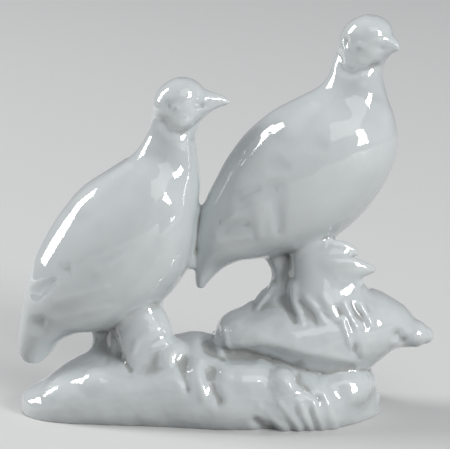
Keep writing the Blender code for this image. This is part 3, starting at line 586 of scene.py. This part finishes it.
def upper_rock(bm):
    """The rock under the right bird and the broken stub at its right end."""
    form = bmesh.new()
    rings = []
    for x, y, bottom, top, half_depth in smooth_rows(ROCK_RIBS, LOFT_STEPS):
        across = Vector((0.0, half_depth, 0.0))
        up = Vector((0.0, 0.0, (top - bottom) / 2))
        place = matrix_from(Vector((x, y, (top + bottom) / 2)), across, up)
        rings.append(ring(form, place, ROCK_SQUARENESS))
    skin_rings(form, rings)
    add_form(bm, form)
    path_loft(bm, ROCK_STUB)


def ground_detail(bm):
    """Lumps of the ground and the leaves of the twig."""
    for x, y, z, along_x, along_y, along_z, turn in LUMPS:
        ball(bm, (x, y, z), (along_x, along_y, along_z), turn)
    for stations in LEAVES:
        path_loft(bm, stations)


def legs(bm):
    """The four legs, each lost in the tuft that it stands in, and the seam under the tail."""
    for stations in (LEFT_FAR_LEG, LEFT_NEAR_TUFT, RIGHT_FAR_LEG, RIGHT_NEAR_TUFT, TAIL_SEAM):
        path_loft(bm, stations)


def read_skin(thing):
    """A skin's points in millimetres, and its normals."""
    count = len(thing.data.vertices)
    places = np.empty(count * 3)
    normals = np.empty(count * 3)
    thing.data.vertices.foreach_get("co", places)
    thing.data.vertices.foreach_get("normal", normals)
    return places.reshape(-1, 3) / MM, normals.reshape(-1, 3)


def write_skin(thing, places):
    """Put a skin's points, given in millimetres, back."""
    thing.data.vertices.foreach_set("co", (places * MM).ravel())
    thing.data.update()


def neighbour_mean(values, edges, counts):
    """The mean of each point's neighbours along the edges, for each column of values."""
    mean = np.empty_like(values)
    for column in range(values.shape[1]):
        forward = np.bincount(edges[:, 0], values[edges[:, 1], column], len(values))
        backward = np.bincount(edges[:, 1], values[edges[:, 0], column], len(values))
        mean[:, column] = (forward + backward) / counts
    return mean


def skin_edges(thing):
    """A skin's edges as pairs of points, and how many edges each point has."""
    edges = np.empty(len(thing.data.edges) * 2, dtype=np.int32)
    thing.data.edges.foreach_get("vertices", edges)
    counts = np.bincount(edges, minlength=len(thing.data.vertices))
    return edges.reshape(-1, 2), counts


def fill_creases(thing, voxel, fillet):
    """Fill the creases with glaze: points that lie below their surroundings rise to them."""
    edges, counts = skin_edges(thing)
    for _ in range(math.ceil((fillet / voxel) ** 2 * 2 / FILL_PASSES)):
        places, normals = read_skin(thing)
        for _ in range(FILL_PASSES):
            rise = ((neighbour_mean(places, edges, counts) - places) * normals).sum(axis=1)
            places += np.clip(rise, 0.0, None)[:, None] * normals
        write_skin(thing, places)


def distance_to_path(points, path):
    """Distance from each of many plane points to a path, as if the path narrowed along its way."""
    nearest = np.full(len(points), np.inf)
    for i, (start, end) in enumerate(zip(path, path[1:])):
        start = np.array(start)
        run = np.array(end) - start
        share = np.clip((points - start) @ run / (run @ run), 0.0, 1.0)
        away = points - start - share[:, None] * run
        width = 1.0 - STROKE_TAPER * (i + share) / (len(path) - 1)
        nearest = np.minimum(nearest, np.hypot(away[:, 0], away[:, 1]) / width)
    return nearest


def stroke_lift(places, normals, strokes, frame, reach=math.inf):
    """How far strokes in the XZ plane of a frame lift each point that faces -Y there."""
    inward = np.array(frame.inverted())
    seen = places @ inward[:3, :3].T + inward[:3, 3]
    facing = -(normals @ inward[:3, :3].T)[:, 1]
    facing = np.clip(facing / STROKE_TURN_IN, 0.0, 1.0) * (np.abs(seen).max(axis=1) < reach)
    lift = np.zeros(len(places))
    for radius, height, path in strokes:
        share = np.clip(1.0 - (distance_to_path(seen[:, (0, 2)], path) / radius) ** 2, 0.0, 1.0)
        lift += height * facing * share ** 2
    return lift


def model_relief(thing, head_frames, voxel):
    """All strokes: the ground's on its front and back, the flanks' and cheeks' on both sides."""
    front = Matrix.Rotation(math.radians(-VIEW_TILT), 4, "X")
    mirror = Matrix.Diagonal((1.0, -1.0, 1.0, 1.0))
    reach = HEAD_STROKE_REACH * HEAD_RIBS[2][4]
    edges, counts = skin_edges(thing)
    places, normals = read_skin(thing)
    lift = stroke_lift(places, normals, GROUND_STROKES + FLANK_STROKES, front)
    lift += stroke_lift(places, normals, BACK_STROKES + FLANK_STROKES, mirror @ front)
    for frame in head_frames:
        lift += stroke_lift(places, normals, HEAD_STROKES, frame, reach)
        lift += stroke_lift(places, normals, HEAD_STROKES, frame @ mirror, reach)
    moves = lift[:, None] * normals
    for _ in range(math.ceil((STROKE_SOFTNESS / voxel) ** 2)):
        moves = 0.5 * moves + 0.5 * neighbour_mean(moves, edges, counts)
    write_skin(thing, places + moves)


def uneven_skin(thing):
    """The uneven skin that hand modelling leaves: strong on the ground, faint on the birds."""
    places, normals = read_skin(thing)
    base_x = [row[0] for row in BASE_RIBS]
    rock_x = [row[0] for row in ROCK_RIBS]
    top = np.maximum(
        np.interp(places[:, 0], base_x, [row[3] for row in BASE_RIBS]),
        np.interp(places[:, 0], rock_x, [row[3] for row in ROCK_RIBS], left=0.0, right=0.0),
    )
    ground = np.clip((top + RIPPLE_FADE - places[:, 2]) / (2 * RIPPLE_FADE), 0.0, 1.0)
    lift = np.zeros(len(places))
    lengthwise, crosswise = FEATHER_LIE
    for i, point in enumerate(places):
        spot = Vector(point)
        if ground[i] > 0.0:
            waves = noise.noise(spot / RIPPLE_LENGTH)
            waves += RIPPLE_DETAIL_SHARE * noise.noise(spot * RIPPLE_DETAIL / RIPPLE_LENGTH)
            lift[i] += ground[i] * RIPPLE_HEIGHT * waves
        if ground[i] < 1.0:
            lie = Vector((lengthwise * (spot.x + spot.z), spot.y, crosswise * (spot.z - spot.x)))
            lift[i] += (1.0 - ground[i]) * FEATHER_HEIGHT * noise.noise(lie / FEATHER_LENGTH)
    write_skin(thing, places + lift[:, None] * normals)


def apply_modifiers(thing):
    """Replace an object's mesh by its evaluated mesh and drop its modifiers."""
    evaluated = thing.evaluated_get(bpy.context.evaluated_depsgraph_get())
    mesh = bpy.data.meshes.new_from_object(evaluated)
    thing.modifiers.clear()
    thing.data = mesh


def new_piece(name, bm):
    """Put a bmesh in a named object of the scene, in metres."""
    bmesh.ops.transform(bm, matrix=Matrix.Scale(MM, 4), verts=bm.verts)
    mesh = bpy.data.meshes.new(name)
    bm.to_mesh(mesh)
    bm.free()
    thing = bpy.data.objects.new(name, mesh)
    bpy.context.scene.collection.objects.link(thing)
    return thing


def run_together(thing, voxel, passes):
    """Fuse the overlapping forms into one skin and soften it as glaze does."""
    remesh = thing.modifiers.new("skin", "REMESH")
    remesh.mode = "VOXEL"
    remesh.voxel_size = voxel
    soften = thing.modifiers.new("glaze", "SMOOTH")
    soften.factor = 0.5
    soften.iterations = passes
    apply_modifiers(thing)


def thin_facets(thing, count):
    """Bring the skin down to the wanted number of facets."""
    faces = sum(len(face.vertices) - 2 for face in thing.data.polygons)
    thin = thing.modifiers.new("facets", "DECIMATE")
    thin.ratio = min(1.0, count / faces)
    apply_modifiers(thing)


def grind_foot(thing):
    """Cut the underside flat at the surface that the figure stands on."""
    bm = bmesh.new()
    bm.from_mesh(thing.data)
    everything = bm.verts[:] + bm.edges[:] + bm.faces[:]
    bmesh.ops.bisect_plane(
        bm, geom=everything, plane_co=(0, 0, 0), plane_no=(0, 0, 1), clear_inner=True
    )
    rim = [vert for vert in bm.verts if vert.is_boundary]
    for vert in rim:
        vert.co.z = 0.0
    bmesh.ops.remove_doubles(bm, verts=rim, dist=RIM_MERGE * MM)
    bmesh.ops.contextual_create(bm, geom=[edge for edge in bm.edges if edge.is_boundary])
    bm.to_mesh(thing.data)
    bm.free()


def foot_recess():
    """Cutter for the shallow hollow inside the foot rim, which follows the base's outline."""
    bm = bmesh.new()
    first, last = BASE_RIBS[0][0] + FOOT_RIM_WIDTH, BASE_RIBS[-1][0] - FOOT_RIM_WIDTH
    rings = []
    for x, front, back, top, squareness in smooth_rows(BASE_RIBS, RECESS_STEPS):
        drop = (top + BASE_FLOOR) / (top - BASE_FLOOR)
        at_floor = (1.0 - abs(drop) ** squareness) ** (1 / squareness)
        half = (back - front) / 2 * at_floor - FOOT_RIM_WIDTH
        if first < x < last and half > FOOT_RIM_WIDTH:
            centre = Vector((x, (front + back) / 2, 0.0))
            up = Vector((0.0, 0.0, FOOT_RECESS_DEPTH))
            place = matrix_from(centre, Vector((0.0, half, 0.0)), up)
            rings.append(ring(bm, place, RECESS_SQUARENESS))
    skin_rings(bm, rings)
    return new_piece("foot_recess_cutter", bm)


def vent_hole():
    """Cutter for the vent that lets a closed casting breathe in the kiln."""
    bm = bmesh.new()
    top = FOOT_RECESS_DEPTH + VENT_DEPTH
    place = Matrix.Translation((*VENT_PLACE, top / 2 - CUTTER_OVERLAP))
    bmesh.ops.create_cone(
        bm, cap_ends=True, segments=32, radius1=VENT_RADIUS, radius2=VENT_RADIUS,
        depth=top + 2 * CUTTER_OVERLAP, matrix=place,
    )
    return new_piece("vent_cutter", bm)


def hollow_foot(thing):
    """Cut the recess and the vent out of the ground foot."""
    for cutter in (foot_recess(), vent_hole()):
        difference = thing.modifiers.new(cutter.name, "BOOLEAN")
        difference.operation = "DIFFERENCE"
        difference.solver = "EXACT"
        difference.object = cutter
        apply_modifiers(thing)
        bpy.data.objects.remove(cutter)


def stand_in_frame(thing):
    """Shift the figure so that its box stands over the middle of the casting's box."""
    low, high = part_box(NODE)
    places = np.array([vert.co for vert in thing.data.vertices])
    own = (places.min(axis=0) + places.max(axis=0)) / 2
    shift = ((low[0] + high[0]) / 2 - own[0], (low[1] + high[1]) / 2 - own[1], 0.0)
    thing.data.transform(Matrix.Translation(shift))


def mark_hollows(thing, name, passes, depth):
    """Store how far each point lies in a hollow (1) or on a ridge (-1): the glaze's tint and the
    painted shade in hollows follow it.
    """
    edges, counts = skin_edges(thing)
    places, normals = read_skin(thing)
    smooth = places.copy()
    for _ in range(passes):
        smooth = 0.5 * smooth + 0.5 * neighbour_mean(smooth, edges, counts)
    hollow = ((smooth - places) * normals).sum(axis=1) / depth
    layer = thing.data.attributes.new(name, "FLOAT", "POINT")
    layer.data.foreach_set("value", np.clip(hollow, -1.0, 1.0))


class Wire:
    """A socket of a material's tree. Arithmetic on it adds Math nodes."""

    def __init__(self, nodes, socket):
        self.nodes = nodes
        self.socket = socket

    def math(self, operation, first, second):
        """The result of one Math node."""
        return self.nodes.add("ShaderNodeMath", {"operation": operation}, {0: first, 1: second})

    def __add__(self, other):
        return self.math("ADD", self, other)

    def __radd__(self, other):
        return self.math("ADD", other, self)

    def __sub__(self, other):
        return self.math("SUBTRACT", self, other)

    def __rsub__(self, other):
        return self.math("SUBTRACT", other, self)

    def __mul__(self, other):
        return self.math("MULTIPLY", self, other)

    def __rmul__(self, other):
        return self.math("MULTIPLY", other, self)

    def __truediv__(self, other):
        return self.math("DIVIDE", self, other)

    def __rtruediv__(self, other):
        return self.math("DIVIDE", other, self)

    def at_least(self, other):
        """The larger of this and another value."""
        return self.math("MAXIMUM", self, other)

    def at_most(self, other):
        """The smaller of this and another value."""
        return self.math("MINIMUM", self, other)

    def held(self):
        """This value kept between 0 and 1."""
        return self.at_least(0.0).at_most(1.0)


class Nodes:
    """The node tree of one new material."""

    def __init__(self, name):
        self.material = bpy.data.materials.new(name)
        self.material.use_nodes = True
        self.tree = self.material.node_tree
        self.shader = self.tree.nodes["Principled BSDF"]

    def add(self, kind, settings=(), sockets=(), output=0):
        """Add a node: its settings are set first, then its sockets' values or links."""
        node = self.tree.nodes.new(kind)
        for name, value in dict(settings).items():
            setattr(node, name, value)
        for name, value in dict(sockets).items():
            self.give(node.inputs[name], value)
        return Wire(self, node.outputs[output])

    def give(self, socket, value):
        """Link a wire to a socket, or set the socket's own value."""
        if isinstance(value, Wire):
            self.tree.links.new(value.socket, socket)
        else:
            socket.default_value = value

    def finish(self, **sockets):
        """Give the shader its sockets, by their names with underscores for spaces."""
        for name, value in sockets.items():
            self.give(self.shader.inputs[name.replace("_", " ")], value)
        return self.material

    def noise(self, place, scale, detail):
        """The value of a noise texture."""
        sockets = {"Vector": place, "Scale": scale, "Detail": detail}
        return self.add("ShaderNodeTexNoise", {}, sockets)

    def mix(self, factor, first, second):
        """A colour between two colours."""
        return self.add(
            "ShaderNodeMix", {"data_type": "RGBA"}, {0: factor, 6: first, 7: second}, output=2
        )


def glazed_porcelain(glaze):
    """White porcelain under a clear glaze that thins on the ridges, with painted shade darkening its
    creases and wide recesses, partly the tint of pooled glaze.
    """
    nodes = Nodes("glazed_porcelain")
    place = nodes.add("ShaderNodeTexCoord", output=3)
    hollow = nodes.add("ShaderNodeAttribute", {"attribute_name": "hollow"}, output=2)
    # Wide hollows, read only to paint shade into the recesses
    painted_shade = nodes.add("ShaderNodeAttribute", {"attribute_name": "painted_shade"}, output=2)
    cloud = nodes.noise(place, CLOUD_SCALE, 2.0)
    fine = nodes.noise(place, GRAIN_SCALE, 2.0)
    # Painted shade in the creases, partly the tint of pooled glaze, broken up by the cloud
    pooled_and_shaded = (hollow * 1.5 - 0.12 + (cloud - 0.5) * 0.25).held()
    # Painted shade in the wide recesses
    deep = (painted_shade * 1.2 - 0.1).held()
    thinned = (hollow * -1.3 - 0.25).held()
    body = nodes.mix(pooled_and_shaded * 0.85, (*glaze.body_color, 1.0), (*glaze.pooled_color, 1.0))
    body = nodes.mix(deep * 0.75, body, (*glaze.pooled_color, 1.0))
    body = nodes.mix(thinned * 0.5, body, (*glaze.thin_color, 1.0))
    body = nodes.mix((cloud - 0.5).held() * 0.35, body, (*glaze.pooled_color, 1.0))
    cells = {"Vector": place, "Scale": SPECK_SCALE}
    speck = nodes.add("ShaderNodeTexVoronoi", {"feature": "F1"}, cells, output=0)
    pick = nodes.add("ShaderNodeTexVoronoi", {"feature": "F1"}, cells, output=1)
    chosen = nodes.add("ShaderNodeSeparateColor", {}, {0: pick}, output=0)
    specks = ((0.045 - speck) * 60.0).held() * ((chosen - 0.93) * 30.0).held()
    body = nodes.mix(specks * 0.6, body, (*glaze.speck_color, 1.0))
    height = nodes.add("ShaderNodeSeparateXYZ", {}, {0: place}, output=2)
    glazed = ((height - glaze.bare_height) / GLAZE_EDGE).held()
    body = nodes.mix(glazed, (*glaze.bare_color, 1.0), body)
    waves = cloud * 0.8 + fine * 0.02
    bump = nodes.add(
        "ShaderNodeBump", {}, {"Strength": 0.25, "Distance": 0.0008, "Height": waves}
    )
    return nodes.finish(
        Base_Color=body,
        Roughness=0.55 - glazed * 0.5 + (fine - 0.5) * 0.03,
        Coat_Weight=glazed,
        Coat_Roughness=0.03,
        Coat_IOR=1.52,
        IOR=1.5,
        Normal=bump,
        Subsurface_Weight=0.12,
        Subsurface_Radius=(1.0, 0.9, 0.8),
        Subsurface_Scale=0.002,
    )


def plain_floor_material(color, bounce):
    """The matt floor: pale to see and in the glaze, darker in the light that it throws back up."""
    nodes = Nodes("pale_floor")
    place = nodes.add("ShaderNodeTexCoord", output=3)
    grain = nodes.noise(place, FLOOR_GRAIN_SCALE, 4.0)
    seen = nodes.add("ShaderNodeLightPath", output=0)
    seen = seen + nodes.add("ShaderNodeLightPath", output=3)
    tone = nodes.mix(grain * 0.1, (*color, 1.0), (*[0.9 * part for part in color], 1.0))
    return nodes.finish(
        Base_Color=nodes.mix(seen.held(), (bounce, bounce, bounce, 1.0), tone), Roughness=0.75
    )


class CastingSettings(bpy.types.PropertyGroup):
    """How finely the figure's skin is modelled."""

    voxel: bpy.props.FloatProperty(
        name="Skin", description="Edge of the cells the forms are fused with",
        default=0.00055, unit="LENGTH",
    )
    softening: bpy.props.IntProperty(
        name="Softening", description="Smoothing passes that stand for the thickness of the glaze",
        default=6,
    )
    facets: bpy.props.IntProperty(
        name="Facets", description="Facets left on the figure", default=190000,
    )
    # Depth of a crease that takes the full pooled-glaze tint and painted shade
    pooling_depth: bpy.props.FloatProperty(
        name="Pooling depth", description="Depth in millimetres of a hollow that the glaze fills",
        default=0.35,
    )
    # Depth of a wide recess that takes the full painted shade
    shelter_depth: bpy.props.FloatProperty(
        name="Shelter depth", description="Depth in millimetres of a wide hollow that looks deep",
        default=2.4,
    )


class GlazeSettings(bpy.types.PropertyGroup):
    """The colours of the porcelain and its glaze, and of the painted shade."""

    body_color: bpy.props.FloatVectorProperty(
        name="Body", description="Porcelain under a thin even glaze",
        default=(0.635, 0.675, 0.68), subtype="COLOR",
    )
    # Painted shade for creases and wide recesses, partly the tint of pooled glaze; the random
    # clouding uses it too
    pooled_color: bpy.props.FloatVectorProperty(
        name="Pooled", description="Porcelain under pooled glaze",
        default=(0.37, 0.385, 0.37), subtype="COLOR",
    )
    thin_color: bpy.props.FloatVectorProperty(
        name="Ridge", description="Porcelain where the glaze has run thin",
        default=(0.72, 0.755, 0.75), subtype="COLOR",
    )
    speck_color: bpy.props.FloatVectorProperty(
        name="Speck", description="Firing specks", default=(0.30, 0.33, 0.36), subtype="COLOR",
    )
    bare_color: bpy.props.FloatVectorProperty(
        name="Bare", description="Unglazed porcelain of the foot rim",
        default=(0.70, 0.66, 0.58), subtype="COLOR",
    )
    bare_height: bpy.props.FloatProperty(
        name="Bare height", description="Height of the unglazed foot rim",
        default=0.00005, unit="LENGTH",
    )


class StageSettings(bpy.types.PropertyGroup):
    """The floor, the camera and the lights."""

    floor_color: bpy.props.FloatVectorProperty(
        name="Floor", description="Colour of the floor", default=(0.76, 0.76, 0.75), subtype="COLOR",
    )
    floor_bounce: bpy.props.FloatProperty(
        name="Floor bounce", description="How much light the floor throws back up", default=0.16,
    )
    camera_distance: bpy.props.FloatProperty(
        name="Camera distance", description="From the camera to the figure", default=0.9,
        unit="LENGTH",
    )
    camera_elevation: bpy.props.FloatProperty(
        name="Camera elevation", description="Angle of the camera above the floor",
        default=math.radians(VIEW_TILT), subtype="ANGLE",
    )
    frame_width: bpy.props.FloatProperty(
        name="Frame width", description="Width of the picture at the figure", default=0.1665,
        unit="LENGTH",
    )
    left_power: bpy.props.FloatProperty(
        name="Left window", description="Power of the left window", default=33.0, unit="POWER",
    )
    right_power: bpy.props.FloatProperty(
        name="Right window", description="Power of the right window", default=26.0, unit="POWER",
    )
    front_power: bpy.props.FloatProperty(
        name="Front window", description="Power of the front window", default=6.5, unit="POWER",
    )
    sky: bpy.props.FloatProperty(
        name="Room", description="Strength of the light of the room", default=0.4,
    )


class FIGURINE_OT_cast_pair(bpy.types.Operator):
    """Model both birds, the twig, the rock and the base as one casting"""

    bl_idname = "figurine.cast_pair"
    bl_label = "Cast the Pair"

    def execute(self, context):
        casting = context.scene.figurine_casting
        left_head = head_frame(
            LEFT_HEAD_CENTRE, LEFT_BIRD_Y, LEFT_HEAD_SCALE, LEFT_HEAD_TURN, LEFT_HEAD_NOD
        )
        right_head = head_frame(
            RIGHT_HEAD_CENTRE, RIGHT_BIRD_Y, RIGHT_HEAD_SCALE, RIGHT_HEAD_TURN, RIGHT_HEAD_NOD
        )
        bm = bmesh.new()
        bird(
            bm, LEFT_RIBS, LEFT_BIRD_Y, LEFT_HEAD_CENTRE, LEFT_HEAD_SCALE, left_head,
            LEFT_BEAK_LENGTH, LEFT_EYE_FORWARD,
        )
        bird(
            bm, RIGHT_RIBS, RIGHT_BIRD_Y, RIGHT_HEAD_CENTRE, RIGHT_HEAD_SCALE, right_head,
            RIGHT_BEAK_LENGTH, RIGHT_EYE_FORWARD,
        )
        legs(bm)
        lower_base(bm)
        upper_rock(bm)
        ground_detail(bm)
        figure = new_piece("partridge_pair_casting", bm)
        run_together(figure, casting.voxel, casting.softening)
        fill_creases(figure, casting.voxel / MM, GLAZE_FILLET)
        model_relief(figure, (left_head, right_head), casting.voxel / MM)
        uneven_skin(figure)
        thin_facets(figure, casting.facets)
        grind_foot(figure)
        hollow_foot(figure)
        stand_in_frame(figure)
        # Read the hollows that steer the glaze's tint and the painted shade
        mark_hollows(figure, "hollow", HOLLOW_PASSES, casting.pooling_depth)
        mark_hollows(figure, "painted_shade", PAINTED_SHADE_PASSES, casting.shelter_depth)
        figure.data.shade_smooth()
        figure.data.materials.clear()
        figure.data.materials.append(glazed_porcelain(context.scene.figurine_glaze))
        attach(figure, "root")
        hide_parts(NODE)
        return {"FINISHED"}


CAMERA_TARGET = Vector((-0.0002, 0.0034, 0.0714))
SENSOR_WIDTH = 36.0
FLOOR_HALF_SIZE = 6000.0
SKY_COLOR = (0.8, 0.82, 0.85, 1.0)
LAMP_DISTANCE = 2.2

# Windows: azimuth from the camera's side and elevation in degrees, width and height in metres
LEFT_WINDOW = (-103.0, 26.0, 0.78, 1.5)
RIGHT_WINDOW = (46.0, 20.0, 0.55, 1.05)
FRONT_WINDOW = (24.0, 42.0, 1.6, 1.2)


def aim(thing, target):
    """Turn a camera or a lamp to look at a point."""
    thing.rotation_euler = (target - thing.location).to_track_quat("-Z", "Y").to_euler()


def window_lamp(name, window, power):
    """A soft rectangular lamp, placed by its angles from the camera's side and above the floor."""
    azimuth, elevation, width, height = window
    lamp = bpy.data.lights.new(name, "AREA")
    lamp.shape = "RECTANGLE"
    lamp.size = width
    lamp.size_y = height
    lamp.energy = power
    thing = bpy.data.objects.new(name, lamp)
    turn = math.radians(azimuth)
    rise = math.radians(elevation)
    side = math.cos(rise) * LAMP_DISTANCE
    thing.location = CAMERA_TARGET + Vector(
        (math.sin(turn) * side, -math.cos(turn) * side, math.sin(rise) * LAMP_DISTANCE)
    )
    aim(thing, CAMERA_TARGET)
    bpy.context.scene.collection.objects.link(thing)


class FIGURINE_OT_set_stage(bpy.types.Operator):
    """Lay the floor, hang the lights and place the camera as the photograph's was"""

    bl_idname = "figurine.set_stage"
    bl_label = "Set the Stage"

    def execute(self, context):
        stage = context.scene.figurine_stage
        bm = bmesh.new()
        bmesh.ops.create_grid(bm, x_segments=1, y_segments=1, size=FLOOR_HALF_SIZE)
        floor = new_piece("floor", bm)
        floor.data.materials.append(plain_floor_material(stage.floor_color, stage.floor_bounce))
        window_lamp("left_window", LEFT_WINDOW, stage.left_power)
        window_lamp("right_window", RIGHT_WINDOW, stage.right_power)
        window_lamp("front_window", FRONT_WINDOW, stage.front_power)
        world = bpy.data.worlds.new("room")
        world.use_nodes = True
        background = world.node_tree.nodes["Background"]
        background.inputs["Color"].default_value = SKY_COLOR
        background.inputs["Strength"].default_value = stage.sky
        context.scene.world = world
        lens = bpy.data.cameras.new("camera")
        lens.sensor_width = SENSOR_WIDTH
        lens.lens = lens.sensor_width * stage.camera_distance / stage.frame_width
        camera = bpy.data.objects.new("camera", lens)
        rise = stage.camera_elevation
        back = Vector((0.0, -math.cos(rise), math.sin(rise)))
        camera.location = CAMERA_TARGET + back * stage.camera_distance
        aim(camera, CAMERA_TARGET)
        context.scene.collection.objects.link(camera)
        context.scene.camera = camera
        context.scene.view_settings.view_transform = "Standard"
        return {"FINISHED"}


class FIGURINE_PT_maker(bpy.types.Panel):
    """The figurine's steps and settings"""

    bl_idname = "FIGURINE_PT_maker"
    bl_label = "Figurine"
    bl_space_type = "VIEW_3D"
    bl_region_type = "UI"
    bl_category = "Figurine"

    def draw(self, context):
        for operator, settings in (
            (FIGURINE_OT_cast_pair, context.scene.figurine_casting),
            (None, context.scene.figurine_glaze),
            (FIGURINE_OT_set_stage, context.scene.figurine_stage),
        ):
            box = self.layout.box()
            for name in settings.__annotations__:
                box.prop(settings, name)
            if operator:
                box.operator(operator.bl_idname)


CLASSES = (
    CastingSettings,
    GlazeSettings,
    StageSettings,
    FIGURINE_OT_cast_pair,
    FIGURINE_OT_set_stage,
    FIGURINE_PT_maker,
)


def register():
    """Register the classes and give the scene its settings."""
    for cls in CLASSES:
        bpy.utils.register_class(cls)
    bpy.types.Scene.figurine_casting = bpy.props.PointerProperty(type=CastingSettings)
    bpy.types.Scene.figurine_glaze = bpy.props.PointerProperty(type=GlazeSettings)
    bpy.types.Scene.figurine_stage = bpy.props.PointerProperty(type=StageSettings)


def unregister():
    """Take the settings and the classes away."""
    del bpy.types.Scene.figurine_stage
    del bpy.types.Scene.figurine_glaze
    del bpy.types.Scene.figurine_casting
    for cls in reversed(CLASSES):
        bpy.utils.unregister_class(cls)


def main():
    """Model, glaze and stage the figurine."""
    register()
    bpy.ops.figurine.cast_pair()
    bpy.ops.figurine.set_stage()


if __name__ == "__main__":
    main()
